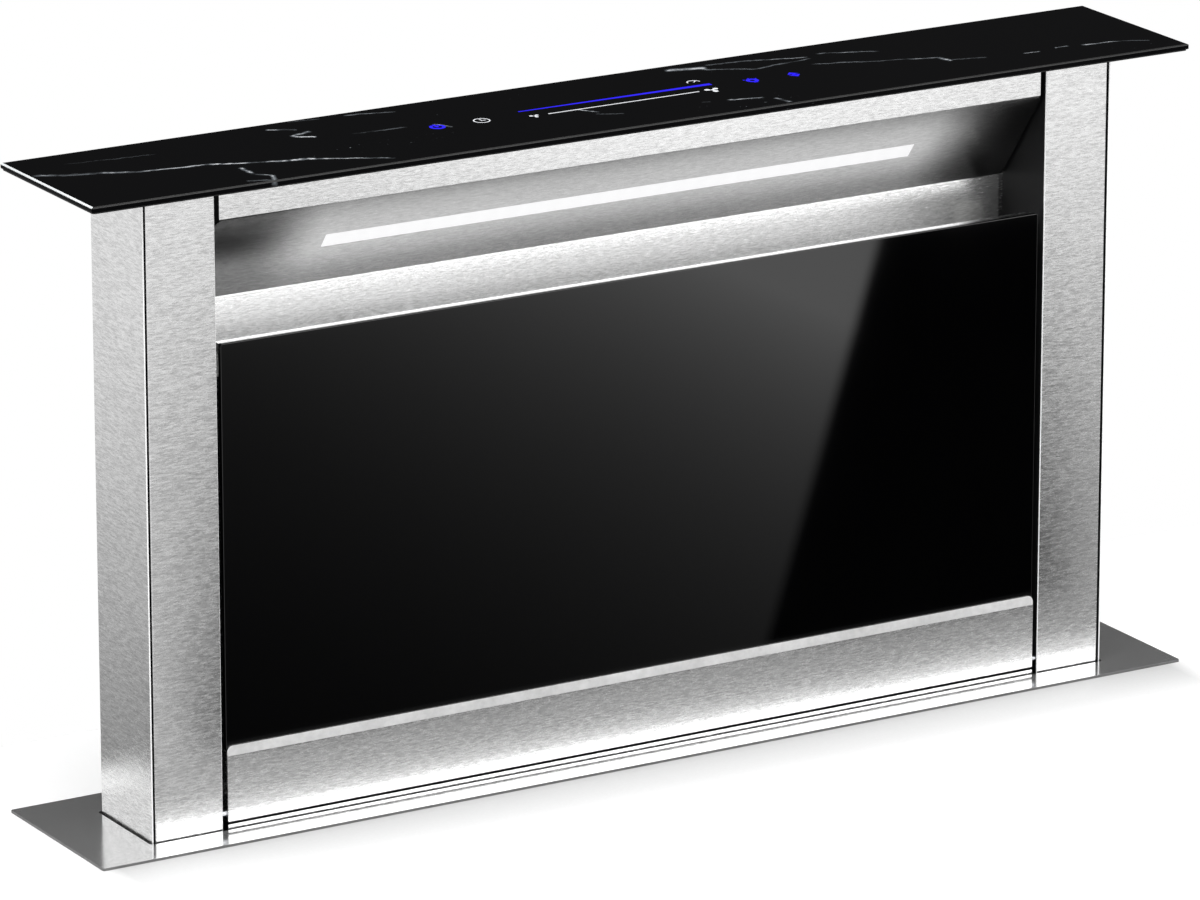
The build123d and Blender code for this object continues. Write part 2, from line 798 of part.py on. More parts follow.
# ================================================================ mounting brackets
with BuildPart() as mounting_brackets:
    for s in (-1, 1):
        with BuildSketch(Plane.XZ.offset(-(tower_middle + bracket_width / 2))):
            panel(
                s * housing_half_out,
                -worktop_thickness - bracket_drop,
                s * (housing_half_out + bracket_sheet),
                -worktop_thickness,
            )
            panel(
                s * housing_half_out,
                -worktop_thickness - bracket_sheet,
                s * (housing_half_out + bracket_reach),
                -worktop_thickness,
            )
        extrude(amount=bracket_width)
        with BuildSketch(Plane.XY.offset(-worktop_thickness - bracket_sheet)):
            with Locations(
                (s * (housing_half_out + bracket_hole_out), tower_middle - bracket_hole_spacing / 2),
                (s * (housing_half_out + bracket_hole_out), tower_middle + bracket_hole_spacing / 2),
            ):
                Circle(bracket_hole_radius)
        extrude(amount=bracket_sheet, mode=Mode.SUBTRACT)
        with BuildSketch(Plane.YZ.offset(s * housing_half_out)):
            with Locations(*bolt_places):
                Circle(bolt_radius + running_gap)
        extrude(amount=s * bracket_sheet, mode=Mode.SUBTRACT)
mounting_brackets.part.label = "mounting_brackets"
export_step(mounting_brackets.part, "parts/mounting_brackets.step")

with BuildPart() as bracket_bolts:
    for s in (-1, 1):
        with BuildSketch(Plane.YZ.offset(s * housing_half_in)):
            with Locations(*bolt_places):
                Circle(bolt_radius)
        extrude(amount=s * (housing_sheet + bracket_sheet))
        with BuildSketch(Plane.YZ.offset(s * (housing_half_out + bracket_sheet))):
            with Locations(*bolt_places):
                RegularPolygon(bolt_head_radius, 6)
        extrude(amount=s * bolt_head)
        with BuildSketch(Plane.YZ.offset(s * housing_half_in)):
            with Locations(*bolt_places):
                RegularPolygon(bolt_head_radius, 6)
        extrude(amount=-s * bolt_head)
bracket_bolts.part.label = "bracket_bolts"
export_step(bracket_bolts.part, "parts/bracket_bolts.step")

# ================================================================ lift screws, bearings, belt and motor
for side, s in (("left", -1), ("right", 1)):
    journal_low = housing_low - drive_depth if s < 0 else housing_floor + fit_gap
    with BuildPart() as lift_screw:
        with BuildSketch(Plane.XY.offset(journal_low)):
            with Locations((s * screw_x, screw_y)):
                Circle(journal_radius)
        extrude(amount=pulley_top - journal_low)
        with BuildSketch(Plane.XY.offset(pulley_top)):
            with Locations((s * screw_x, screw_y)):
                Circle(screw_radius)
        extrude(amount=-screw_top_gap - pulley_top)
        with BuildSketch(Plane.XY.offset(pulley_low)):
            with Locations((s * screw_x, screw_y)):
                Circle(pulley_radius)
        extrude(amount=pulley_width)
        for flange_low in (pulley_low, pulley_top - pulley_flange):
            with BuildSketch(Plane.XY.offset(flange_low)):
                with Locations((s * screw_x, screw_y)):
                    Circle(pulley_flange_radius)
            extrude(amount=pulley_flange)
        chamfer(lift_screw.edges().filter_by(GeomType.CIRCLE).sort_by(Axis.Z)[-1], length=screw_chamfer)
    lift_screw.part.label = f"{side}_lift_screw"
    export_step(lift_screw.part, f"parts/{side}_lift_screw.step")

with BuildPart() as screw_bearings:
    with BuildSketch(Plane.XY.offset(housing_floor)):
        with Locations((-screw_x, screw_y), (screw_x, screw_y)):
            Rectangle(bearing_foot, bearing_foot)
    extrude(amount=bearing_plate)
    with BuildSketch(Plane.XY.offset(housing_floor)):
        with Locations((-screw_x, screw_y), (screw_x, screw_y)):
            Circle(bearing_radius)
    extrude(amount=bearing_height)
    with BuildSketch(Plane.XY.offset(housing_floor)):
        with Locations((-screw_x, screw_y), (screw_x, screw_y)):
            Circle(journal_radius + running_gap)
    extrude(amount=bearing_height, mode=Mode.SUBTRACT)
screw_bearings.part.label = "screw_bearings"
export_step(screw_bearings.part, "parts/screw_bearings.step")

belt_radius = pulley_radius + running_gap
with BuildPart() as lift_belt:
    with BuildSketch(Plane.XY.offset(pulley_low + pulley_flange + belt_gap)):
        with Locations((0, screw_y)):
            SlotCenterToCenter(2 * screw_x, 2 * (belt_radius + belt_thickness))
            SlotCenterToCenter(2 * screw_x, 2 * belt_radius, mode=Mode.SUBTRACT)
    extrude(amount=pulley_width - 2 * (pulley_flange + belt_gap))
lift_belt.part.label = "lift_belt"
export_step(lift_belt.part, "parts/lift_belt.step")

gearbox_low = housing_low - gearbox_height
with BuildPart() as lift_motor:
    with BuildSketch(Plane.XY.offset(gearbox_low)):
        with Locations((-screw_x, screw_y)):
            Circle(gearbox_radius)
    extrude(amount=gearbox_height)
    with BuildSketch(Plane.XY.offset(gearbox_low - motor_height)):
        with Locations((-screw_x, screw_y)):
            Circle(motor_radius)
    extrude(amount=motor_height)
    fillet(lift_motor.edges().filter_by(GeomType.CIRCLE).sort_by(Axis.Z)[0], radius=motor_round)
    with BuildSketch(Plane.XY.offset(housing_low - drive_depth - shaft_end_gap)):
        with Locations((-screw_x, screw_y)):
            Circle(journal_radius + running_gap)
    extrude(amount=drive_depth + shaft_end_gap, mode=Mode.SUBTRACT)
lift_motor.part.label = "lift_motor"
export_step(lift_motor.part, "parts/lift_motor.step")

# ================================================================ blower
bx, bz = blower_centre
half_step = scroll_step / 2
neck_left = bx - half_step + throat_start
neck_right = bx + half_step + scroll_radius + 2 * scroll_step
neck_low = bz - scroll_radius - neck_length
neck_middle = (neck_left + neck_right) / 2
scroll_front = housing_front_out - scroll_depth


def scroll_outline(inset, outlet_z):
    """A spiral of three quarter turns that ends in a straight outlet, drawn in the line that is open."""
    quarters = (
        ((bx - half_step, bz), scroll_radius - inset, 180),
        ((bx + half_step, bz), scroll_radius + scroll_step - inset, 90),
        ((bx + half_step, bz - scroll_step), scroll_radius + 2 * scroll_step - inset, 0),
    )
    for centre, radius, last_angle in quarters:
        CenterArc(centre, radius, last_angle, 90)
    start = (bx - half_step, bz - scroll_radius + inset)
    Polyline(
        (neck_right - inset, bz - scroll_step),
        (neck_right - inset, outlet_z),
        (neck_left + inset, outlet_z),
        (neck_left + inset, start[1]),
        start,
    )


with BuildPart() as blower_scroll:
    with BuildSketch(Plane.XZ.offset(-housing_front_out)):
        with BuildLine():
            scroll_outline(0, neck_low)
        make_face()
    extrude(amount=scroll_depth)
    with BuildSketch(Plane.XZ.offset(-housing_front_out + scroll_sheet)):
        with BuildLine():
            scroll_outline(scroll_sheet, neck_low)
        make_face()
    extrude(amount=scroll_depth, mode=Mode.SUBTRACT)
    with BuildSketch(Plane.XZ.offset(-housing_front_out)):
        with Locations(blower_centre):
            Circle(inlet_radius)
    extrude(amount=scroll_sheet, mode=Mode.SUBTRACT)
blower_scroll.part.label = "blower_scroll"
export_step(blower_scroll.part, "parts/blower_scroll.step")

with BuildPart() as blower_cover:
    with BuildSketch(Plane.XZ.offset(-scroll_front)):
        with BuildLine():
            scroll_outline(0, neck_low)
        make_face()
        with Locations(blower_centre):
            Circle(shaft_radius + shaft_clearance, mode=Mode.SUBTRACT)
    extrude(amount=scroll_sheet)
blower_cover.part.label = "blower_cover"
export_step(blower_cover.part, "parts/blower_cover.step")

wheel_back = housing_front_out - scroll_sheet - wheel_clearance
wheel_front = wheel_back - wheel_depth
motor_back = scroll_front - scroll_sheet
blade_radius = wheel_radius - blade_setback - blade_length / 2
wheel_plane = Plane(origin=(bx, wheel_front, bz), x_dir=(1, 0, 0), z_dir=(0, 1, 0))
with BuildPart() as impeller:
    with BuildSketch(wheel_plane):
        Circle(wheel_radius)
    extrude(amount=wheel_disc)
    with BuildSketch(wheel_plane):
        with PolarLocations(blade_radius, blade_count):
            Rectangle(blade_length, blade_thickness)
    extrude(amount=wheel_depth)
    with BuildSketch(wheel_plane.offset(wheel_depth - wheel_ring)):
        Circle(wheel_radius)
        Circle(wheel_radius - wheel_ring_sheet, mode=Mode.SUBTRACT)
    extrude(amount=wheel_ring)
    with BuildSketch(wheel_plane):
        Circle(hub_radius)
    extrude(amount=hub_length)
    with BuildSketch(wheel_plane):
        Circle(shaft_radius)
    extrude(amount=motor_back - wheel_front - shaft_in_motor)
impeller.part.label = "impeller"
export_step(impeller.part, "parts/impeller.step")

with BuildPart() as blower_motor:
    with BuildSketch(Plane.XZ.offset(-motor_back)):
        with Locations(blower_centre):
            Circle(blower_motor_radius)
    extrude(amount=blower_motor_depth)
    fillet(blower_motor.edges().filter_by(GeomType.CIRCLE).sort_by(Axis.Y)[0], radius=blower_motor_round)
    with BuildSketch(Plane.XZ.offset(-motor_back)):
        with Locations(blower_centre):
            Circle(shaft_radius + running_gap)
    extrude(amount=shaft_in_motor + shaft_end_gap, mode=Mode.SUBTRACT)
blower_motor.part.label = "blower_motor"
export_step(blower_motor.part, "parts/blower_motor.step")

# ================================================================ duct transition, collar and flaps
duct_x = neck_middle
duct_y = housing_front_out - duct_shift
collar_top = neck_low - transition_length
collar_low = collar_top - collar_length
neck_width = neck_right - neck_left
neck_depth = scroll_depth + scroll_sheet
neck_y = housing_front_out - neck_depth / 2
flap_z = collar_top - flap_down
flap_pin_half = duct_radius - fit_gap
with BuildPart() as outlet_collar:
    for inset, mode in ((0, Mode.ADD), (duct_wall, Mode.SUBTRACT)):
        with BuildSketch(Plane.XY.offset(neck_low)):
            with Locations((duct_x, neck_y)):
                Rectangle(neck_width - 2 * inset, neck_depth - 2 * inset)
        with BuildSketch(Plane.XY.offset(collar_top)):
            with Locations((duct_x, duct_y)):
                Circle(duct_radius - inset)
        loft(mode=mode)
        with BuildSketch(Plane.XY.offset(collar_low)):
            with Locations((duct_x, duct_y)):
                Circle(duct_radius - inset)
        extrude(amount=collar_length, mode=mode)
    with BuildSketch(Plane.YZ.offset(duct_x - duct_radius)):
        with Locations((duct_y, flap_z)):
            Circle(flap_pin_radius + running_gap)
    extrude(amount=2 * duct_radius, mode=Mode.SUBTRACT)
outlet_collar.part.label = "outlet_collar"
export_step(outlet_collar.part, "parts/outlet_collar.step")

with BuildPart() as flap_pin:
    with BuildSketch(Plane.YZ.offset(duct_x - flap_pin_half)):
        with Locations((duct_y, flap_z)):
            Circle(flap_pin_radius)
    extrude(amount=2 * flap_pin_half)
flap_pin.part.label = "flap_pin"
export_step(flap_pin.part, "parts/flap_pin.step")

first_knuckle = duct_x - (knuckle_count - 1) * knuckle_pitch / 2
knuckle_places = [first_knuckle + i * knuckle_pitch for i in range(knuckle_count)]
for side, s, knuckle_centres in (("front", -1, knuckle_places[0::2]), ("rear", 1, knuckle_places[1::2])):
    with BuildPart() as flap:
        with BuildSketch(Plane.XY.offset(flap_z - flap_thickness / 2)):
            with Locations((duct_x, duct_y)):
                Circle(duct_radius - duct_wall - flap_gap)
            panel(
                duct_x - duct_radius,
                duct_y + s * flap_root,
                duct_x + duct_radius,
                duct_y - s * duct_radius,
                mode=Mode.SUBTRACT,
            )
            for middle in knuckle_centres:
                panel(
                    middle - knuckle_length / 2,
                    duct_y,
                    middle + knuckle_length / 2,
                    duct_y + s * (flap_root + flap_thickness),
                )
        extrude(amount=flap_thickness)
        for middle in knuckle_centres:
            with BuildSketch(Plane.YZ.offset(middle - knuckle_length / 2)):
                with Locations((duct_y, flap_z)):
                    Circle(knuckle_radius)
            extrude(amount=knuckle_length)
        with BuildSketch(Plane.YZ.offset(duct_x - duct_radius)):
            with Locations((duct_y, flap_z)):
                Circle(flap_pin_radius + running_gap)
        extrude(amount=2 * duct_radius, mode=Mode.SUBTRACT)
    flap.part.label = f"{side}_flap"
    export_step(flap.part, f"parts/{side}_flap.step")

# ================================================================ control box
box_low = box_top - box_height
box_back = housing_front_out
box_front = box_back - box_depth
box_left = -housing_half_out + box_end_gap
box_right = box_left + box_width
box_centre_x = (box_left + box_right) / 2
gland_y = (box_back + box_front) / 2
with BuildPart() as control_box:
    with BuildSketch(Plane.XZ.offset(-box_back)):
        panel(box_left, box_low, box_right, box_top)
    extrude(amount=box_depth)
    with BuildSketch(Plane.XZ.offset(-box_back + box_wall)):
        panel(box_left + box_wall, box_low + box_wall, box_right - box_wall, box_top - box_wall)
    extrude(amount=box_depth, mode=Mode.SUBTRACT)
    post_places = [
        (x, z)
        for x in (box_left + post_margin, box_right - post_margin)
        for z in (box_low + post_margin, box_top - post_margin)
    ]
    with BuildSketch(Plane.XZ.offset(-box_back + box_wall)):
        with Locations(*post_places):
            Circle(board_post / 2)
    extrude(amount=board_post)
    with BuildSketch(Plane.XY.offset(box_low)):
        with Locations((box_centre_x, gland_y)):
            Circle(gland_thread_radius + running_gap)
    extrude(amount=box_wall, mode=Mode.SUBTRACT)
control_box.part.label = "control_box"
export_step(control_box.part, "parts/control_box.step")

with BuildPart() as control_lid:
    with BuildSketch(Plane.XZ.offset(-box_front)):
        panel(box_left, box_low, box_right, box_top)
    extrude(amount=lid_thickness)
    fillet(control_lid.edges().filter_by(Axis.Y), radius=lid_round)
control_lid.part.label = "control_lid"
export_step(control_lid.part, "parts/control_lid.step")

with BuildPart() as control_board:
    with BuildSketch(Plane.XZ.offset(-box_back + box_wall + board_post)):
        panel(
            box_left + board_margin,
            box_low + board_margin,
            box_right - board_margin,
            box_top - board_margin,
        )
    extrude(amount=board_thickness)
control_board.part.label = "control_board"
export_step(control_board.part, "parts/control_board.step")

with BuildPart() as mains_gland:
    with BuildSketch(Plane.XY.offset(box_low - gland_hex_height)):
        with Locations((box_centre_x, gland_y)):
            RegularPolygon(gland_hex, 6)
    extrude(amount=gland_hex_height)
    with BuildSketch(Plane.XY.offset(box_low - gland_hex_height)):
        with Locations((box_centre_x, gland_y)):
            Circle(gland_radius)
    extrude(amount=-gland_dome, taper=6)
    with BuildSketch(Plane.XY.offset(box_low)):
        with Locations((box_centre_x, gland_y)):
            Circle(gland_thread_radius)
    extrude(amount=box_wall + gland_thread)
    with BuildSketch(Plane.XY.offset(box_low - gland_hex_height - gland_dome)):
        with Locations((box_centre_x, gland_y)):
            Circle(gland_bore_radius)
    extrude(amount=gland_hex_height + gland_dome + box_wall + gland_thread, mode=Mode.SUBTRACT)
mains_gland.part.label = "mains_gland"
export_step(mains_gland.part, "parts/mains_gland.step")
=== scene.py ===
import json
import math

import bmesh
import bpy
from mathutils import Matrix, Vector


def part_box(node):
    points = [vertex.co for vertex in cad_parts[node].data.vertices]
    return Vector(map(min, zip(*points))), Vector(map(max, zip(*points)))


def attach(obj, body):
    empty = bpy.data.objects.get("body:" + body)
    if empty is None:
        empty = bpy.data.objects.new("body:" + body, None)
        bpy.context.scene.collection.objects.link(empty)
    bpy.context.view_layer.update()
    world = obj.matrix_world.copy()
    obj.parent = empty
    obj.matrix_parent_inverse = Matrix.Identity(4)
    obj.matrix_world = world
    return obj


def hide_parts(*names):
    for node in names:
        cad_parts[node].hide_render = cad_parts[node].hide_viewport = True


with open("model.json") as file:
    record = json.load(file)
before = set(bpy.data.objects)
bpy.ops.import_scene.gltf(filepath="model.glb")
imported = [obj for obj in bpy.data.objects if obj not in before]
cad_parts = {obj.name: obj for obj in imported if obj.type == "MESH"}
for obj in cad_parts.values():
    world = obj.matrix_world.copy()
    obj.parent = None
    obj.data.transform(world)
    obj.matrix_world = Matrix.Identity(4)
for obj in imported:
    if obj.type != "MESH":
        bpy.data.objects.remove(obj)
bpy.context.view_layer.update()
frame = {"nodes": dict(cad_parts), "record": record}

# Looks of a downdraft vent for a kitchen worktop, tower raised. Metres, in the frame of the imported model:
# the origin is the centre of the flange's underside, +X to the right, -Y to the front, +Z up.
# In mm are the radii of corners and broken edges, the profiles of turned pieces and the sizes of screws.
mm = 0.001
forwards = (0, -1, 0)
sides = (("left", -1), ("right", 1))
scene = bpy.context.scene
record = frame["record"]
body_of = {n: body for body, nodes in record["behaviour"]["bodies"].items() for n in nodes}
slot_of = {part["node"]: part["material_slot"] for part in record["subparts"]}


def added(name, data):
    """A new object in the scene."""
    made = bpy.data.objects.new(name, data)
    scene.collection.objects.link(made)
    return made


# ================================================================ camera
view_yaw = math.radians(-30.67)
view_pitch = math.radians(16.86)
view_distance = 5.7
view_aim = Vector((0.0228, 0.0542, 0.1943))
focal_length = 240.3
film_width = 36.0

ahead = Vector((
    -math.sin(view_yaw) * math.cos(view_pitch),
    math.cos(view_yaw) * math.cos(view_pitch),
    -math.sin(view_pitch),
))
to_right = Vector((math.cos(view_yaw), math.sin(view_yaw), 0))
upwards = to_right.cross(ahead)
lens = bpy.data.cameras.new("camera")
lens.lens = focal_length
lens.sensor_width = film_width
lens.sensor_fit = "HORIZONTAL"
lens.clip_end = 50
camera = added("camera", lens)
stand = view_aim - view_distance * ahead
camera.matrix_world = Matrix.Translation(stand) @ Matrix((to_right, upwards, -ahead)).transposed().to_4x4()
scene.camera = camera
scene.view_settings.view_transform = "Standard"


# ================================================================ how the finishes are made
def node(tree, kind, inputs=None, **settings):
    """Adds a shader node; an input takes a number, a colour or another node's output."""
    made = tree.nodes.new(kind)
    for name, value in settings.items():
        setattr(made, name, value)
    for name, value in (inputs or {}).items():
        if isinstance(value, bpy.types.NodeSocket):
            tree.links.new(value, made.inputs[name])
        else:
            made.inputs[name].default_value = value
    return made


def worked_out(operation, first, *others):
    """A sum of shader values and numbers, worked out from the left."""
    tree = next(term for term in (first, *others) if isinstance(term, bpy.types.NodeSocket)).id_data
    for other in others or (0.0,):
        first = node(tree, "ShaderNodeMath", {0: first, 1: other}, operation=operation).outputs["Value"]
    return first


def plus(*terms):
    return worked_out("ADD", *terms)


def minus(*terms):
    return worked_out("SUBTRACT", *terms)


def times(*terms):
    return worked_out("MULTIPLY", *terms)


def larger(*terms):
    return worked_out("MAXIMUM", *terms)


def smaller(*terms):
    return worked_out("MINIMUM", *terms)


def unsigned(value):
    return worked_out("ABSOLUTE", value)


def places(tree, stretch=(1, 1, 1), centre=(0, 0, 0), turn=(0, 0, 0)):
    """Points of the piece, stretched, centred or turned for a pattern."""
    coords = node(tree, "ShaderNodeTexCoord")
    inputs = {"Vector": coords.outputs["Object"], "Location": centre, "Rotation": turn, "Scale": stretch}
    return node(tree, "ShaderNodeMapping", inputs).outputs["Vector"]


def point_of(tree, *placing):
    """X, Y and Z of each point of the piece."""
    return node(tree, "ShaderNodeSeparateXYZ", {"Vector": places(tree, *placing)}).outputs


def noise(tree, stretch, detail=2.0, rough=0.5):
    """Noise, as fine in every direction or with its own fineness along X, Y and Z."""
    where = places(tree, stretch if isinstance(stretch, tuple) else (stretch,) * 3)
    inputs = {"Vector": where, "Scale": 1.0, "Detail": detail, "Roughness": rough}
    return node(tree, "ShaderNodeTexNoise", inputs).outputs["Fac"]


def between(value, low, high, to_low=0.0, to_high=1.0):
    inputs = {"Value": value, "From Min": low, "From Max": high, "To Min": to_low, "To Max": to_high}
    return node(value.id_data, "ShaderNodeMapRange", inputs).outputs["Result"]


def step(value, at, width, low=0.0, high=1.0):
    """A soft step in a value, from low to high."""
    return between(value, at - width / 2, at + width / 2, low, high)


def blend(part, a, b):
    """a where part is 0, b where it is 1."""
    return plus(times(a, minus(1.0, part)), times(b, part))


def tones(value, *stops):
    """Colours along a value from 0 to 1."""
    made = node(value.id_data, "ShaderNodeValToRGB", {"Fac": value})
    ramp = made.color_ramp
    while len(ramp.elements) < len(stops):
        ramp.elements.new(0.5)
    for element, (at, colour) in zip(ramp.elements, stops):
        element.position = at
        element.color = (*colour, 1)
    return made.outputs["Color"]


def grey(level):
    return (level,) * 3


def tinted(colour, strength):
    return tuple(strength * c for c in colour)


def finish(name, **inputs):
    """A material with one shader; the inputs that are the same all over are set on it."""
    material = bpy.data.materials.new(name)
    material.use_nodes = True
    tree = material.node_tree
    shader = tree.nodes["Principled BSDF"]
    for label, value in inputs.items():
        shader.inputs[label.replace("_", " ")].default_value = value
    return material, tree, shader


def put(shader, colour=None, rough=None, height=None, strength=0.2, depth=0.1 * mm, glow=None):
    """Links patterns to a shader. A height becomes bumps of a strength and depth."""
    tree = shader.id_data
    if height is not None:
        bump = node(tree, "ShaderNodeBump", {"Height": height, "Strength": strength, "Distance": depth})
        tree.links.new(bump.outputs["Normal"], shader.inputs["Normal"])
    for label, value in (("Base Color", colour), ("Roughness", rough), ("Emission Strength", glow)):
        if value is not None:
            tree.links.new(value, shader.inputs[label])


grain_along_x = (150, 900, 900)
grain_level = (150, 150, 900)


def brushed(name, dark, light, rough, grain=grain_along_x, slope=1.0, metal=1.0):
    """Sheet steel brushed in one direction: grain is how close the strokes lie along X, Y and Z."""
    material, tree, shader = finish(name, Metallic=metal)
    strokes = noise(tree, grain, 3.0, 0.6)
    fine = noise(tree, tinted(grain, 2.7), 2.0, 0.6)
    cloud = times(minus(noise(tree, 5, 1.0), 0.5), 0.05)
    mixed = plus(times(strokes, 0.6), times(fine, 0.4))
    colour = tones(plus(mixed, cloud), (0.37, grey(dark)), (0.63, grey(light)))
    put(shader, colour, between(mixed, 0.3, 0.7, *rough), mixed, slope, 0.06 * mm)
    return material


def moulded(name, colour, rough=0.45, grain=900, level=0.5):
    """Moulded plastic, rubber or paint with a fine spark-eroded surface."""
    material, tree, shader = finish(name, Specular_IOR_Level=level)
    patches = noise(tree, 14)
    shade = tones(patches, (0.3, tinted(colour, 0.88)), (0.7, tinted(colour, 1.08)))
    put(shader, shade, between(patches, 0.3, 0.7, rough - 0.06, rough + 0.06), noise(tree, grain, 3.0), 0.3)
    return material


def plated(name, dark, light, rough, metal=1.0):
    """Plated, cast or turned metal: a fine grain and slow patches of tone."""
    material, tree, shader = finish(name, Metallic=metal)
    skin = noise(tree, 220, 4.0, 0.6)
    both = plus(times(skin, 0.5), times(noise(tree, 30), 0.5))
    put(shader, tones(both, (0.35, dark), (0.65, light)), between(both, 0.3, 0.7, *rough), skin, 0.15)
    return material


def galvanised():
    """Hot-dipped sheet: flat crystals of zinc, each with its own tone."""
    material, tree, shader = finish("galvanised_steel", Metallic=0.9)
    spangle = node(tree, "ShaderNodeTexVoronoi", {"Vector": places(tree, (130, 130, 130)), "Scale": 1.0})
    single = node(tree, "ShaderNodeSeparateColor", {"Color": spangle.outputs["Color"]}).outputs["Red"]
    both = plus(times(single, 0.7), times(noise(tree, 60), 0.3))
    colour = tones(both, (0.1, (0.46, 0.48, 0.50)), (0.9, (0.60, 0.62, 0.64)))
    put(shader, colour, between(both, 0.0, 1.0, 0.30, 0.5), both, 0.12)
    return material


# ---------------------------------------------------------------- black glass with white veins
long_veins = (
    # start and end on the glass, in mm from its middle; half width in mm; strength
    ((-435, 24), (-373, 0), 1.7, 0.70),
    ((-373, 0), (-322, -9), 1.3, 0.75),
    ((-322, -9), (-269, -28), 1.3, 0.95),
    ((-269, -28), (-251, -31), 1.5, 1.00),
    ((-251, -31), (-206, -57), 0.9, 0.75),
    ((-403, 42), (-341, 34), 0.5, 0.22),
    ((-244, 53), (-226, 43), 1.2, 0.75),
    ((-220, 35), (-237, 29), 1.6, 0.80),
    ((-237, 29), (-223, 20), 1.2, 0.90),
    ((-308, -27), (-306, -46), 1.2, 0.70),
    ((-306, -46), (-297, -55), 1.0, 0.60),
    ((-297, -55), (-304, -70), 1.4, 0.70),
    ((-319, -59), (-304, -66), 1.0, 0.55),
    ((-221, 63), (-198, 62), 0.6, 0.35),
    ((-178, 61), (-144, 52), 0.8, 0.50),
    ((-197, 15), (-158, 11), 0.8, 0.35),
    ((-137, 9), (-129, -4), 0.9, 0.80),
    ((-32, -7), (-23, -21), 0.9, 0.70),
    ((-27, -25), (-10, -33), 0.7, 0.45),
    ((78, 57), (106, 48), 2.6, 0.80),
    ((110, 54), (146, 49), 1.0, 0.50),
    ((146, 49), (184, 40), 0.8, 0.60),
    ((196, 43), (237, 29), 0.8, 0.70),
    ((101, 46), (135, 27), 0.9, 0.60),
    ((135, 27), (183, 35), 0.8, 0.40),
    ((178, 19), (242, -3), 0.7, 0.50),
    ((242, -3), (265, -11), 0.9, 0.70),
    ((264, -10), (267, -23), 1.6, 0.90),
    ((269, -20), (293, -28), 0.8, 0.50),
    ((323, -30), (336, -31), 0.7, 0.60),
    ((351, -29), (362, -29), 0.7, 0.60),
    ((373, -31), (405, -37), 0.9, 0.75),
    ((405, -37), (421, -45), 0.7, 0.50),
    ((72, -38), (97, -43), 0.9, 0.70),
    ((104, -49), (107, -64), 1.3, 0.60),
    ((53, -34), (59, -35), 0.7, 0.50),
)


def veined_glass():
    """Opaque black glass printed with a black marble: white veins that wander about straight lines."""
    material, tree, shader = finish("veined_black_glass", Roughness=0.06, Specular_IOR_Level=0.02)
    wander = noise(tree, 26, 3.0, 0.62)
    crackle = noise(tree, (190, 260, 190), 4.0, 0.7)
    breaks = noise(tree, (55, 120, 55), 3.0, 0.7)
    sway = times(minus(wander, 0.5), 9 * mm)
    jitter = times(minus(crackle, 0.5), 3.5 * mm)
    veins = []
    for (ax, ay), (bx, by), half, strength in long_veins:
        length = math.hypot(bx - ax, by - ay) * mm
        turn = math.atan2(by - ay, bx - ax)
        back = Matrix.Rotation(-turn, 3, "Z") @ Vector(((ax + bx) / 2 * mm, (ay + by) / 2 * mm, 0))
        lengthways, across, _ = point_of(tree, (1, 1, 1), -back, (0, 0, -turn))
        off = unsigned(plus(across, sway, jitter))
        line = between(off, 0.25 * half * mm, 1.6 * half * mm, 1.0, 0.0)
        ends = between(unsigned(lengthways), 0.44 * length, 0.54 * length, strength, 0.0)
        veins.append(times(line, ends))
    broken = times(larger(*veins), between(breaks, 0.36, 0.58, 0.12, 1.0))
    specks = between(noise(tree, (330, 420, 330)), 0.72, 0.78, 0.0, 0.5)
    spots = between(noise(tree, (7, 19, 7), 1.0), 0.62, 0.72)
    black, haze, white = (0.0015, 0.0015, 0.0018), (0.10, 0.11, 0.12), (0.72, 0.74, 0.76)
    put(shader, tones(larger(broken, times(specks, spots)), (0.0, black), (0.45, haze), (1.0, white)))
    return material


def plain_black_glass():
    """The door's unprinted glass, nearly black, with a faint smear."""
    material, tree, shader = finish("black_glass", Specular_IOR_Level=0.7)
    smear = noise(tree, (7, 7, 5), 3.0)
    colour = tones(smear, (0.3, (0.0005, 0.0005, 0.0006)), (0.7, (0.0008, 0.0008, 0.0009)))
    put(shader, colour, between(smear, 0.3, 0.7, 0.03, 0.05))
    return material


lamp_pitch = 17     # mm from lamp to lamp in the light's row


def light_lens():
    """Opal cover of the light: lit from behind, a very little brighter over each lamp of the row."""
    material, tree, shader = finish("light_lens", Roughness=0.35, Emission_Color=(1, 1, 1, 1))
    lamps = worked_out("SINE", times(point_of(tree)["X"], 2 * math.pi / (lamp_pitch * mm)))
    colour = tones(lamps, (0.0, (0.22, 0.22, 0.23)), (1.0, (0.23, 0.23, 0.24)))
    put(shader, colour, glow=between(lamps, -1, 1, 0.76, 0.77))
    return material


def painted_glow_steel(name, dark, light, rough, power, reach, centre, half, middle=0.0, dim=1.0):
    """Brushed steel with a painted glow, emission that stands for the light spilling over it from the lens,
    of a power at its left and right end.
    centre is the height of the painted glow on the steel, half how far it reaches to each side of middle.
    Left of the glow the steel's colour is darker, by dim, as painted shade."""
    material = brushed(name, dark, light, rough)
    tree = material.node_tree
    shader = tree.nodes["Principled BSDF"]
    x, _, z = point_of(tree)
    # painted glow: emission that fades with distance from the lens's light
    beyond = larger(minus(unsigned(minus(x, middle)), half), 0.0)
    rise = times(minus(z, centre), 1.25)
    far = plus(times(beyond, beyond), times(rise, rise))
    fall = worked_out("POWER", math.e, times(far, -1 / reach ** 2))
    steel = shader.inputs["Base Color"].links[0].from_socket
    strokes = steel.node.inputs["Fac"].links[0].from_socket
    tree.links.new(tones(strokes, (0.3, grey(0.66)), (0.7, grey(1.0))), shader.inputs["Emission Color"])
    # painted shade: the steel's colour is darkened left of the glow
    if dim < 1:
        shade = between(x, -half - 45 * mm, -half - 2 * mm, dim, 1.0)
        darker = node(tree, "ShaderNodeVectorMath", {0: steel, "Scale": shade}, operation="SCALE")
        steel = darker.outputs["Vector"]
    put(shader, steel, glow=times(fall, between(x, -half, half, *power)))
    return material


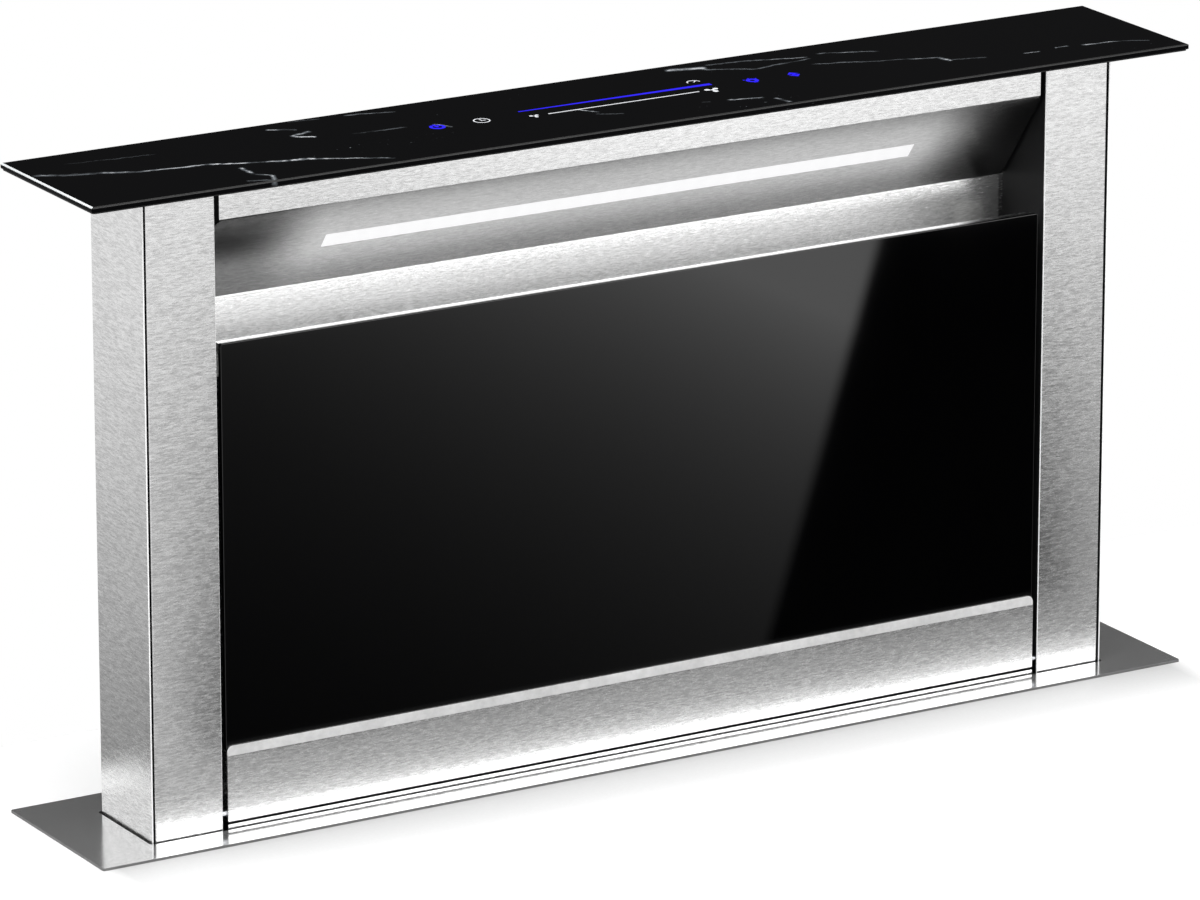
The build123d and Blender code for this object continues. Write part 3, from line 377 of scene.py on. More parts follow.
def lit_print(name, colour, power):
    """A symbol in the glass, lit from below by the touch board."""
    material, tree, shader = finish(name, Roughness=0.2, Emission_Color=(*colour, 1))
    flicker = noise(tree, 300)
    shade = tones(flicker, (0.3, tinted(colour, 0.4)), (0.7, tinted(colour, 0.5)))
    put(shader, shade, glow=between(flicker, 0.3, 0.7, 0.9 * power, 1.1 * power))
    return material


def printed_board(name, mask, copper):
    """Circuit board: copper tracks under a coloured mask."""
    material, tree, shader = finish(name, Coat_Weight=0.3)
    cells = node(tree, "ShaderNodeTexBrick", {
        "Vector": places(tree, (90, 90, 90)), "Mortar Size": 0.06, "Scale": 1.0,
        "Color1": (*mask, 1), "Color2": (*tinted(mask, 0.8), 1), "Mortar": (*copper, 1)}).outputs["Color"]
    height = node(tree, "ShaderNodeSeparateColor", {"Color": cells}).outputs["Green"]
    put(shader, cells, between(height, 0.0, 1.0, 0.3, 0.42), height)
    return material


slot_size = (476 * mm, 13.8 * mm)     # of the lens in the lamp panel
slot_height = 401.1 * mm
painted_glow_height = 348 * mm                # of the glow painted on the back wall

finishes = {
    "brushed_steel": brushed("brushed_steel", 0.60, 1.0, (0.18, 0.32)),
    "galvanised_steel": galvanised(),
    "aluminium": plated("aluminium", grey(0.66), grey(0.80), (0.30, 0.42)),
    "black_plastic": moulded("black_plastic", (0.022, 0.022, 0.024)),
    "grey_plastic": moulded("grey_plastic", (0.30, 0.31, 0.32)),
    "circuit_board": printed_board("green_board", (0.015, 0.12, 0.05), (0.05, 0.26, 0.10)),
    "white_circuit_board": printed_board("white_board", (0.78, 0.79, 0.80), (0.62, 0.63, 0.62)),
    "screw_steel": plated("oiled_screw_steel", (0.34, 0.33, 0.31), (0.52, 0.51, 0.50), (0.18, 0.30)),
    "zinc_steel": plated("zinc_plate", (0.55, 0.57, 0.60), (0.74, 0.75, 0.78), (0.22, 0.36)),
    "bronze": plated("bronze", (0.46, 0.30, 0.12), (0.66, 0.45, 0.20), (0.24, 0.38)),
    "black_rubber": moulded("black_rubber", (0.016, 0.016, 0.016), 0.75, 500),
    "motor_paint": moulded("motor_paint", (0.030, 0.031, 0.034), 0.34, 650),
    "magnet_case": moulded("magnet_case", (0.62, 0.62, 0.60)),
    "black_glass": plain_black_glass(),
    "white_diffuser": light_lens(),
}
column_steel = brushed("column_steel", 0.60, 1.0, (0.18, 0.32), grain_level)
flange_steel = brushed("flange_steel", 0.80, 1.0, (0.10, 0.18), slope=0.35, metal=0.89)
# painted shade and glow: the lamp panel's steel is far darker than the other brushed steel and darker again
# left of the lens, with a painted glow round the lens
lamp_steel_painted_shade_and_glow = painted_glow_steel("lamp_panel_painted_shade_and_glow", 0.13, 0.25, (0.14, 0.20), (0.60, 0.62), 35 * mm,
                           slot_height + 8 * mm, 0.5 * slot_size[0], dim=0.75)
# painted glow on the back wall's steel, below the lens
wall_steel_painted_glow = painted_glow_steel("wall_steel_painted_glow", 0.60, 1.0, (0.18, 0.28), (0.34, 0.34), 60 * mm,
                           painted_glow_height, 265 * mm, middle=-30 * mm)
edge_glint = plated("edge_glint", grey(0.008), grey(0.014), (0.35, 0.45), metal=0.0)
# painted highlight: paler, half-metallic steel for the front of the door trim's lip
lip_steel_painted_highlight = plated("lip_steel_painted_highlight", grey(0.62), grey(0.80), (0.4, 0.5), metal=0.5)
# dark grey for the flange's edge faces
dark_edge = plated("dark_edge", grey(0.16), grey(0.24), (0.45, 0.6))
# painted highlight: near-white and not metallic, for the bends and front edges of the column sheets
painted_highlight_edge = plated("painted_highlight_edge", grey(0.93), grey(0.99), (0.4, 0.5), metal=0.0)
mesh_metal = plated("expanded_aluminium", grey(0.42), grey(0.60), (0.32, 0.45))
# painted shade: near-black for the inner faces of the columns, their seams and the rear panel; the tray under
# the glass is black too
black_coat_and_painted_shade = moulded("black_coat_and_painted_shade", (0.006, 0.006, 0.0065), 0.45, level=0.25)
marble_glass = veined_glass()
ground_edge_and_painted_highlight = moulded("ground_glass_edge_and_painted_highlight", (0.80, 0.83, 0.84), 0.4)
blue_light = lit_print("blue_symbol", (0.02, 0.01, 0.85), 0.75)
white_light = lit_print("white_symbol", (0.85, 0.87, 0.9), 0.7)


# ================================================================ how the pieces are made
def points_in(geom):
    return [g for g in geom if isinstance(g, bmesh.types.BMVert)]


def edges_in(geom):
    return [g for g in geom if isinstance(g, bmesh.types.BMEdge)]


def edges_at(points):
    return list({e for v in points for e in v.link_edges})


def points_of(faces):
    return list({v for f in faces for v in f.verts})


def outwards(bm):
    bmesh.ops.recalc_face_normals(bm, faces=bm.faces)


def joined(bm):
    bmesh.ops.remove_doubles(bm, verts=bm.verts, dist=1e-6)


def shift(x, y, z):
    """A move, in mm."""
    return Matrix.Translation((x * mm, y * mm, z * mm))


def spun(degrees, axis="Z"):
    return Matrix.Rotation(math.radians(degrees), 4, axis)


def upright(centre, direction):
    """A place whose Z axis points along direction."""
    return Matrix.Translation(centre) @ Vector(direction).to_track_quat("Z", "Y").to_matrix().to_4x4()


def block(bm, low, high):
    """A box between two corners."""
    low, high = Vector(low), Vector(high)
    stretch = Matrix.Diagonal((*(high - low), 1))
    return bmesh.ops.create_cube(bm, size=1, matrix=Matrix.Translation((low + high) / 2) @ stretch)["verts"]


def sharp_edges(bm, least=35, within=None):
    least = math.radians(least)
    edges = bm.edges if within is None else {e for v in within for e in v.link_edges}
    return [e for e in edges if len(e.link_faces) == 2 and e.calc_face_angle() > least]


def along(edges, axis):
    """The edges that run along an axis: 0, 1 or 2."""
    return [e for e in edges if abs((e.verts[0].co - e.verts[1].co).normalized()[axis]) > 0.99]


def round_over(bm, geom, radius, segments=2, affect="EDGES"):
    return bmesh.ops.bevel(bm, geom=geom, offset=radius * mm, segments=segments, profile=0.5, affect=affect,
                           material=-1)


def slab(bm, low, high, corner, edge, axis=2, segments=4):
    """A plate with round corners about one axis and broken edges."""
    before = set(bm.verts)
    made = block(bm, low, high)
    round_over(bm, along(sharp_edges(bm, 35, made), axis), corner, segments)
    made = [v for v in bm.verts if v not in before]
    round_over(bm, sharp_edges(bm, 60, made), edge)


def oblong(x_a, x_b, y_a, y_b):
    """The corners of a rectangle."""
    return [(x_a, y_a), (x_b, y_a), (x_b, y_b), (x_a, y_b)]


def ring_of(bm, points, corner=0.0, place=Matrix()):
    """A closed outline of edges through points, its corners rounded."""
    corners = [bm.verts.new(place @ Vector((*p, 0))) for p in points]
    edges = [bm.edges.new((a, b)) for a, b in zip(corners, corners[1:] + corners[:1])]
    return edges_at(round_over(bm, corners, corner, 4, "VERTICES")["verts"]) if corner else edges


def circle_of(bm, centre, radius, segments=32, place=Matrix()):
    where = place @ Matrix.Translation((*centre, 0))
    return edges_at(bmesh.ops.create_circle(bm, radius=radius, segments=segments, matrix=where)["verts"])


def filled(bm, edges, **looks_along):
    """Closes outlines with a flat face, holes and all."""
    bmesh.ops.triangle_fill(bm, use_beauty=True, use_dissolve=False, edges=edges, **looks_along)


def sheet_from(bm, edges, inward, edge=0.2):
    """Fills outlines and gives the sheet its thickness along inward."""
    before = set(bm.faces)
    filled(bm, edges, normal=-Vector(inward))
    faces = [f for f in bm.faces if f not in before]
    moved = points_in(bmesh.ops.extrude_face_region(bm, geom=faces)["geom"])
    bmesh.ops.translate(bm, verts=moved, vec=inward)
    outwards(bm)
    round_over(bm, sharp_edges(bm, 60, [v for f in faces for v in f.verts] + moved), edge)


def strip_of(bm, points, way):
    """A line of points, pulled along a way into a strip of faces."""
    start = [bm.verts.new(point) for point in points]
    edges = [bm.edges.new(pair) for pair in zip(start, start[1:])]
    far = points_in(bmesh.ops.extrude_edge_only(bm, edges=edges)["geom"])
    bmesh.ops.translate(bm, verts=far, vec=way)
    return start, far


sheet = 1 * mm     # thickness of the tower's steel


def folded(line, low, high, axis="x", bend=1.2, edge=0.2, corner=0.0):
    """Sheet metal folded along a line of corners. The line runs with its outer side on the left."""
    bm = bmesh.new()
    way = Vector((0, 0, high - low) if axis == "z" else (high - low, 0, 0))
    start, far = strip_of(bm, [(a, b, low) if axis == "z" else (low, a, b) for a, b in line], way)
    if corner:
        last = [v for v in (start[-1], *far)
                if len(v.link_edges) == 2 and (v.co - start[-1].co).cross(way).length < 1e-6]
        round_over(bm, last, corner, 4, "VERTICES")
    round_over(bm, [e for e in bm.edges if len(e.link_faces) == 2], bend, 4)
    bmesh.ops.solidify(bm, geom=bm.faces[:], thickness=sheet)
    round_over(bm, sharp_edges(bm, 60), edge)
    return bm


def turned(bm, profile, steps=32, place=Matrix()):
    """A round piece: a line of (radius, height) points in mm, spun about the Z axis of its place."""
    points = [bm.verts.new(place @ Vector((r * mm, 0, h * mm))) for r, h in profile]
    edges = [bm.edges.new(pair) for pair in zip(points, points[1:])]
    axis = (place.to_3x3() @ Vector((0, 0, 1))).normalized()
    bmesh.ops.spin(bm, geom=points + edges, cent=place.translation, axis=axis, angle=2 * math.pi,
                   steps=steps, use_merge=True)
    joined(bm)
    outwards(bm)


def hexagon(bm, radius, low, high, place, edge=0.3):
    """A six-sided piece, sizes in mm."""
    radius, low, high = radius * mm, low * mm, high * mm
    middle = place @ Matrix.Translation((0, 0, (low + high) / 2))
    made = bmesh.ops.create_cone(bm, cap_ends=True, segments=6, radius1=radius, radius2=radius,
                                 depth=high - low, matrix=middle)["verts"]
    round_over(bm, sharp_edges(bm, 35, made), edge)


def mesh_from(bm, name, *materials):
    mesh = bpy.data.meshes.new(name)
    bm.to_mesh(mesh)
    bm.free()
    for material in materials:
        mesh.materials.append(material)
    return mesh


def hang(bm, name, *materials, stands_for=None, beside=None, slot=None, smooth=35):
    """Makes the piece, finishes it and lets it ride with the CAD piece it stands for or sits beside."""
    body = body_of[stands_for or beside]
    slot = slot or slot_of[stands_for]
    mesh = mesh_from(bm, name, *(materials or (finishes[slot],)))
    mesh.shade_smooth()
    mesh.set_sharp_from_angle(angle=math.radians(smooth))
    piece = added(name, mesh)
    flats = piece.modifiers.new("flats", "WEIGHTED_NORMAL")
    flats.keep_sharp = True
    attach(piece, body)
    if stands_for:
        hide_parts(stands_for)


def dressed(name, *materials, edge=0.25, segments=2, extra=None):
    """The CAD piece with its sharp edges broken, and what extra adds to it."""
    bm = bmesh.new()
    bm.from_mesh(frame["nodes"][name].data)
    joined(bm)
    bmesh.ops.dissolve_limit(bm, angle_limit=math.radians(1), verts=bm.verts, edges=bm.edges)
    round_over(bm, sharp_edges(bm), edge, segments)
    if extra:
        extra(bm)
    hang(bm, name + "_dressed", *materials, stands_for=name)


# ================================================================ glass top and its symbols
print_lift = 0.06 * mm
bevel_fall = 0.3 * mm
glass_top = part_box("top_glass")[1].z
symbol_low = glass_top - 2 * print_lift


def glass_plate():
    """Plate with a bevel round its top: pale ground glass at the sides, a pale strip behind that is a painted
    highlight, a thin glint in front.
    """
    low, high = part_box("top_glass")
    high = high - Vector((0, 0, print_lift))
    bm = bmesh.new()
    slab(bm, low, high - Vector((0, 0, bevel_fall)), 1, 0.7)
    top = [f for f in bm.faces if f.normal.z > 0.99]
    bmesh.ops.inset_region(bm, faces=top, thickness=2.2 * mm, use_even_offset=True)
    inner = points_of(top)
    bmesh.ops.translate(bm, verts=inner, vec=(0, 0, bevel_fall))
    middle = (low + high) / 2
    for side in (-1, 1):
        for end in (-1, 1):
            corner = [v for v in inner if v.is_valid
                      and (v.co.x - middle.x) * side > 0 and (v.co.y - middle.y) * end > 0]
            across = max((v.co.x - middle.x) * side for v in corner)
            deep = max((v.co.y - middle.y) * end for v in corner)
            meet = middle + Vector((across * side, deep * end, 0))
            bmesh.ops.pointmerge(bm, verts=corner, merge_co=(meet.x, meet.y, corner[0].co.z))
    bm.normal_update()
    # bevel faces that look back or sideways are pale: ground glass at the sides, a painted highlight behind;
    # the steep front faces get the glint
    for face in bm.faces:
        ground = 0.3 < face.normal.z < 0.9995
        steep = ground and face.normal.z < 0.98
        face.material_index = 1 if ground and face.normal.y > -0.1 else 2 if steep else 0
    hang(bm, "glass_plate", marble_glass, ground_edge_and_painted_highlight, edge_glint, stands_for="top_glass", smooth=6)


def on_glass(x, y, turn):
    return Matrix.Translation((x * mm, y * mm, symbol_low)) @ spun(turn)


def arc(bm, place, radius, width, start=0, end=360, steps=28):
    """Part of a ring, in degrees from +X."""
    first = place @ spun(start)
    ends = [bm.verts.new(first @ Vector((r * mm, 0, 0))) for r in (radius - width / 2, radius + width / 2)]
    bmesh.ops.spin(bm, geom=[*ends, bm.edges.new(ends)], cent=place.translation, axis=(0, 0, 1),
                   angle=math.radians(end - start), steps=steps, use_merge=end - start == 360)
    joined(bm)


def patch(bm, place, *points):
    bm.faces.new([bm.verts.new(place @ Vector((x * mm, y * mm, 0))) for x, y in points])


def stroke(bm, place, x_a, y_a, x_b, y_b, width):
    away = Vector((y_a - y_b, x_b - x_a)).normalized() * width / 2
    patch(bm, place, (x_a - away.x, y_a - away.y), (x_b - away.x, y_b - away.y),
          (x_b + away.x, y_b + away.y), (x_a + away.x, y_a + away.y))


def dot(bm, place, radius):
    bmesh.ops.create_circle(bm, cap_ends=True, radius=radius * mm, segments=16, matrix=place)


def fan_marks(size):
    """Three bent blades round a hub."""
    outline = ((0.14, -0.02), (0.34, -0.12), (0.5, 0.02), (0.44, 0.20), (0.26, 0.22), (0.12, 0.10))
    blade = [(x * size, y * size) for x, y in outline]
    return [(turn, patch, *blade) for turn in (20, 140, 260)] + [(0, dot, 0.11 * size)]


symbols = (
    # name, light and middle on the glass in mm; then its marks: turn in degrees, kind of mark and sizes in mm
    ("power_symbol", blue_light, (-138.6, 0.8),
     (0, arc, 4.6, 2.4, 115, 425), (0, stroke, 0, 0.8, 0, 6.2, 2.4), (0, dot, 1.2)),
    ("light_symbol", blue_light, (115.6, 1.1),
     (0, arc, 3.3, 2.8), (0, stroke, 0, -5.9, 0, -3.6, 3.2),
     *((turn, stroke, 5.3, 0, 6.6, 0, 1.3) for turn in (90, 35, 145))),
    ("lift_symbol", blue_light, (149.7, 0.8),
     (0, patch, (-4.6, 1.0), (4.6, 1.0), (0, 6.2)), (0, patch, (4.6, -1.0), (-4.6, -1.0), (0, -6.2)),
     (0, stroke, 0, -3.0, 0, 3.0, 2.6)),
    ("level_bar", blue_light, (0, 0), (0, patch, (-70, 7.6), (85, 4.9), (85, 9.3), (-70, 9.2))),
    ("clock_symbol", white_light, (-103.8, 0.4),
     (0, arc, 5.6, 0.9), (0, stroke, 0, -0.4, 0, 3.9, 0.9), (0, stroke, -0.4, 0, 3.2, 0, 0.9)),
    ("level_line", white_light, (0, 0), (0, stroke, -55, -7, 67, -7, 1.3)),
    ("speed_symbol", white_light, (77.5, 17.4),
     (0, arc, 4.8, 0.9, 0, 180, 16), (0, stroke, 0, 0, 2.6, 2.6, 0.9)),
    ("slow_fan_symbol", white_light, (-66, -7.4), *fan_marks(8.0)),
    ("fast_fan_symbol", white_light, (77.6, -7.8), *fan_marks(12.0)),
)


def symbol(name, light, middle, *marks):
    """Thin print on the glass, drawn flat and given a hair's thickness."""
    bm = bmesh.new()
    for turn, draw, *sizes in marks:
        draw(bm, on_glass(*middle, turn), *sizes)
    top = points_in(bmesh.ops.extrude_face_region(bm, geom=bm.faces[:])["geom"])
    bmesh.ops.translate(bm, verts=top, vec=(0, 0, glass_top - symbol_low))
    outwards(bm)
    hang(bm, name, light, beside="top_glass", slot="black_glass")


glass_plate()
for entry in symbols:
    symbol(*entry)


# ================================================================ columns
seam_return = 10 * mm
rear_lip = 25 * mm
seam_shade = 2.2 * mm     # how far the bare steel goes round into the seam; deeper in, the return is black, as painted shade


def both_sides(line, side):
    """The line on the right side, or mirrored on the left with its outer side still on its left."""
    return line if side > 0 else [(-x, y) for x, y in reversed(line)]


def column(side_name, side):
    """A folded front and a cover on the outer side, which meet in a seam at the front corner."""
    low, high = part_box(f"{side_name}_column_front")
    inner, outer = sorted((abs(low.x), abs(high.x)))
    line = [(outer, low.y + seam_return), (outer, low.y), (inner, low.y), (inner, high.y),
            (inner + rear_lip, high.y)]
    bm = folded(both_sides(line, side), low.z, high.z, "z", bend=1.0)
    # painted shade and highlight: the inner wall and the seam's return deeper than seam_shade are black, the
    # bend at the inner edge near white
    for face in bm.faces:
        out = face.normal.x * side
        deep = face.calc_center_median().y > low.y + seam_shade
        bend = -0.9 < out < -0.3 and face.normal.y < -0.3
        face.material_index = 1 if abs(out) > 0.9 and deep else 2 if bend else 0
    hang(bm, f"{side_name}_column_front_sheet", column_steel, black_coat_and_painted_shade, painted_highlight_edge,
         stands_for=f"{side_name}_column_front")

    low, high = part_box(f"{side_name}_column_side")
    inner, outer = sorted((abs(low.x), abs(high.x)))
    line = [(inner, high.y), (outer, high.y), (outer, low.y)]
    bm = folded(both_sides(line, side), low.z, high.z, "z", bend=1.6, edge=0.12)
    # painted highlight and shade: the cover's front edge and bend are near white, its inner face black
    for face in bm.faces:
        face.material_index = 1 if face.normal.y < -0.3 else 2 if face.normal.x * side < -0.9 else 0
    hang(bm, f"{side_name}_column_side_sheet", column_steel, painted_highlight_edge, black_coat_and_painted_shade,
         stands_for=f"{side_name}_column_side")


for entry in sides:
    column(*entry)


# ================================================================ fascia, lamp panel and back wall
lamp_notch = (3.0 * mm, 4.8 * mm)
slot_down = 34 * mm                          # from the panel's top edge to the lens
slot_middle = -slot_down - slot_size[1] / 2
lens_corner = 0.5
lens_gap = 0.15 * mm
lamp_slope = Vector((0, 52, -68.6)) * mm     # from the panel's top edge to its foot


def fascia():
    low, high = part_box("top_fascia")
    bm = folded([(low.y, low.z), (low.y, high.z), (high.y, high.z)], low.x, high.x)
    hang(bm, "fascia_sheet", stands_for="top_fascia")


def lamp_place():
    """The lamp panel's own plane: Y up its slope, Z out of its lit face."""
    low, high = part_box("lamp_panel")
    up = -lamp_slope.normalized()
    out = Vector((1, 0, 0)).cross(up)
    turn = Matrix(((1, 0, 0), up, out)).transposed().to_4x4()
    return Matrix.Translation((0, low.y, high.z)) @ turn


def lamp():
    """The sloping panel with notched corners and its long slot, and the lens that fills the slot."""
    place = lamp_place()
    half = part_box("lamp_panel")[1].x
    foot = -lamp_slope.length
    bm = bmesh.new()
    outline = [(-half, foot), (half, foot), (half, -lamp_notch[1]), (half - lamp_notch[0], 0),
               (-half + lamp_notch[0], 0), (-half, -lamp_notch[1])]
    edges = ring_of(bm, outline, place=place)
    x, y = slot_size[0] / 2, slot_size[1] / 2
    edges += ring_of(bm, oblong(-x, x, slot_middle - y, slot_middle + y), lens_corner, place)
    inward = -(place.to_3x3() @ Vector((0, 0, 1))) * sheet
    sheet_from(bm, edges, inward, 0.15)
    hang(bm, "lamp_panel_sheet", lamp_steel_painted_shade_and_glow, stands_for="lamp_panel")

    bm = bmesh.new()
    slab(bm, (-x + lens_gap, slot_middle - y + lens_gap, -sheet - 3 * mm),
         (x - lens_gap, slot_middle + y - lens_gap, -0.25 * mm), lens_corner, 0.3)
    bmesh.ops.transform(bm, matrix=place, verts=bm.verts)
    hang(bm, "light_lens", stands_for="led_diffuser")


def back_wall():
    low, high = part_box("back_wall")
    lip, fall = 6.5 * mm, 7 * mm
    foot = low.z + lip
    line = [(low.y, low.z), (low.y, foot), (high.y - sheet, foot + fall), (high.y - sheet, high.z)]
    hang(folded(line, low.x, high.x), "back_wall_sheet", wall_steel_painted_glow, stands_for="back_wall")


fascia()
lamp()
back_wall()


# ================================================================ door, sill and flange
slot_gap = 2 * mm
slot_chamfer = 3.4


def plain_plate(name, node_name, corner, edge, axis):
    bm = bmesh.new()
    slab(bm, *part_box(node_name), corner, edge, axis)
    hang(bm, name, stands_for=node_name)


def door_trim():
    """Trim folded round the door's foot, with a leaning lip and a cheek at each end."""
    low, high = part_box("door_trim")
    lip, lean, cheek = 7 * mm, 0.75 * mm, 57 * mm
    line = [(high.y, low.z), (low.y, low.z), (low.y, high.z - lip), (low.y + lean, high.z)]
    bm = folded(line, low.x, high.x, bend=0.9, corner=4)
    for x_a, x_b in ((low.x, low.x + sheet), (high.x - sheet, high.x)):
        block(bm, (x_a, low.y + sheet, low.z + sheet), (x_b, high.y, cheek - 0.3 * mm))
    # painted highlight: the lip's front faces get the paler lip steel
    for face in bm.faces:
        lip_face = face.calc_center_median().z > high.z - lip and face.normal.y < -0.5
        face.material_index = int(lip_face)
    hang(bm, "door_trim_sheet", finishes["brushed_steel"], lip_steel_painted_highlight, stands_for="door_trim")


def flange():
    """Flat plate with the slot that the tower comes up through."""
    low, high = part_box("flange_plate")
    left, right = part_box("left_column_side"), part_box("right_column_side")
    bm = bmesh.new()
    edges = ring_of(bm, oblong(low.x, high.x, low.y, high.y), 1.5)
    edges += ring_of(bm, oblong(left[0].x - slot_gap, right[1].x + slot_gap,
                                left[0].y - slot_gap, left[1].y + slot_gap), slot_chamfer)
    bmesh.ops.translate(bm, verts=bm.verts, vec=(0, 0, high.z))
    sheet_from(bm, edges, Vector((0, 0, low.z - high.z)))
    # the flange's edge faces are dark grey
    for face in bm.faces:
        face.material_index = int(abs(face.normal.z) < 0.6)
    hang(bm, "flange_sheet", flange_steel, dark_edge, stands_for="flange_plate")


plain_plate("door_glass_plate", "front_glass", 1.5, 0.5, axis=1)
door_trim()
plain_plate("sill_sheet", "sill_panel", 0.3, 0.2, axis=0)
flange()


# ================================================================ screws, nuts and turned parts
def drawn(bm, edges, place, rise, grow=1.0, close=False):
    """Pulls an outline along the Z axis of its place, wider or narrower, and may close its end."""
    made = bmesh.ops.extrude_edge_only(bm, edges=edges)["geom"]
    verts = points_in(made)
    bmesh.ops.scale(bm, vec=(grow, grow, 1), space=place.inverted(), verts=verts)
    bmesh.ops.translate(bm, vec=place.to_3x3() @ Vector((0, 0, rise)), verts=verts)
    ends = [e for e in edges_in(made) if set(e.verts) <= set(verts)]
    if close:
        filled(bm, ends)
    return ends


def cross_screw(bm, place, head, rise, shank, length, turn=0.0, sunk=False):
    """A screw with a cross recess, sizes in mm. Its head looks along the Z axis of its place and its seat is
    at 0. It stopped at its own turn, in radians."""
    head, rise, shank, length = head * mm, rise * mm, shank * mm, length * mm
    place = place @ Matrix.Rotation(turn, 4, "Z")
    top = place @ Matrix.Translation((0, 0, rise))
    rim = circle_of(bm, (0, 0), head if sunk else 0.72 * head, 24, top)
    arm, waist = 0.56 * head, 0.13 * head
    quarter = [(arm, -waist), (arm, waist), (waist, waist)]
    arms = [Matrix.Rotation(math.radians(90 * i), 2) for i in range(4)]
    recess = ring_of(bm, [tuple(way @ Vector(p)) for way in arms for p in quarter], place=top)
    filled(bm, rim + recess)
    drawn(bm, recess, place, -0.5 * head if sunk else -0.55 * rise, 0.5, close=True)
    if sunk:
        rim = drawn(bm, rim, place, -(head - shank), shank / head)
    else:
        for drop, grow in ((-0.35 * rise, 1.28), (-0.65 * rise, 1.085), (0.0, shank / head)):
            rim = drawn(bm, rim, place, drop, grow)
    rim = drawn(bm, rim, place, -0.85 * length)
    drawn(bm, rim, place, -0.15 * length, 0.7, close=True)


def round_piece(name, node_name, profile, centre, direction, steps, extra):
    """One turned piece and what extra adds to it; its profile and centre are in mm."""
    bm = bmesh.new()
    place = upright(Vector(centre) * mm, direction)
    turned(bm, profile, steps, place)
    extra(bm, place)
    outwards(bm)
    hang(bm, name, stands_for=node_name)


def rear_screws():
    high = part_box("rear_panel_screws")[1]
    x = high.x - 3 * mm
    bm = bmesh.new()
    for side in (-1, 1):
        for z in (30, 165, 300, 435):
            place = upright((side * x, high.y, z * mm), (0, 1, 0))
            cross_screw(bm, place, 3, 0.0, 2, 5, turn=math.radians(17 + z), sunk=True)
    outwards(bm)
    hang(bm, "rear_panel_cross_screws", stands_for="rear_panel_screws")


def bracket_bolts():
    """Hexagon bolts with a washer under the head and a nut inside."""
    bm = bmesh.new()
    for side in (-1, 1):
        for y in (-40, 32):
            place = upright((side * 404.8 * mm, y * mm, -62 * mm), (side, 0, 0))
            hexagon(bm, 4.6, 4.0, 6.7, place)
            turned(bm, [(0, 3.2), (4.7, 3.2), (4.7, 4.0), (0, 4.0)], 24, place)
            turned(bm, [(0, 6.7), (3.6, 6.7), (3.2, 6.95), (0, 6.95)], 24, place)
            hexagon(bm, 4.6, -3.4, 0, place)
            turned(bm, [(0, -3.5), (2.2, -3.5), (2.5, -3.2), (2.5, 3.2), (0, 3.2)], 20, place)
    hang(bm, "bracket_hex_bolts", stands_for="bracket_bolts")


def painted_shade_inside(bm):
    """Black on the inner face as painted shade, which shows as a black gap beside the fascia and under the
    door.
    """
    bm.normal_update()
    for face in bm.faces:
        face.material_index = int(face.normal.y < -0.9)


rear_screws()
bracket_bolts()
dressed("rear_panel", finishes[slot_of["rear_panel"]], black_coat_and_painted_shade, edge=0.12, extra=painted_shade_inside)


# ================================================================ lamp housing, magnets and hinge
lamp_count = 28
magnet_at = 326.5     # mm from the middle to each magnet's middle


def led_row():
    """The light's board with its row of lamps, behind the lens."""
    dressed("led_board", edge=0.1)
    half = 1.4 * mm
    bm = bmesh.new()
    for i in range(lamp_count):
        x = (i - (lamp_count - 1) / 2) * lamp_pitch * mm
        slab(bm, (x - half, slot_middle - half, -9.9 * mm), (x + half, slot_middle + half, -9.2 * mm),
             0.3, 0.15, segments=2)
    bmesh.ops.transform(bm, matrix=lamp_place(), verts=bm.verts)
    hang(bm, "led_row", finishes["magnet_case"], beside="led_board", slot="white_circuit_board")


def door_magnets():
    """Magnets in their cases, each with two pole plates that look at the door."""
    low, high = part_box("door_magnets")
    bm = bmesh.new()
    for side in (-1, 1):
        x_a, x_b = sorted((side * 318 * mm, side * high.x))
        before = set(bm.faces)
        slab(bm, (x_a, low.y, low.z), (x_b, high.y, high.z), 1, 0.3, axis=1)
        front = [f for f in bm.faces if f not in before and f.normal.y < -0.99]
        bmesh.ops.inset_region(bm, faces=front, thickness=1.6 * mm, use_even_offset=True)
        bmesh.ops.translate(bm, verts=points_of(front), vec=(0, 1.2 * mm, 0))
    hang(bm, "magnet_cases", stands_for="door_magnets")
    bm = bmesh.new()
    for side in (-1, 1):
        for z in (326.0, 330.5):
            slab(bm, (side * magnet_at * mm - 6 * mm, low.y + 0.15 * mm, z * mm),
                 (side * magnet_at * mm + 6 * mm, low.y + 2 * mm, (z + 2.4) * mm), 0.3, 0.15, axis=1)
    hang(bm, "magnet_poles", beside="door_magnets", slot="zinc_steel")


led_row()
door_magnets()
for plain, broken in (("led_housing", 0.3), ("hinge_pins", 0.35), ("hinge_bushes", 0.5), ("slot_seal", 0.6)):
    dressed(plain, edge=broken)


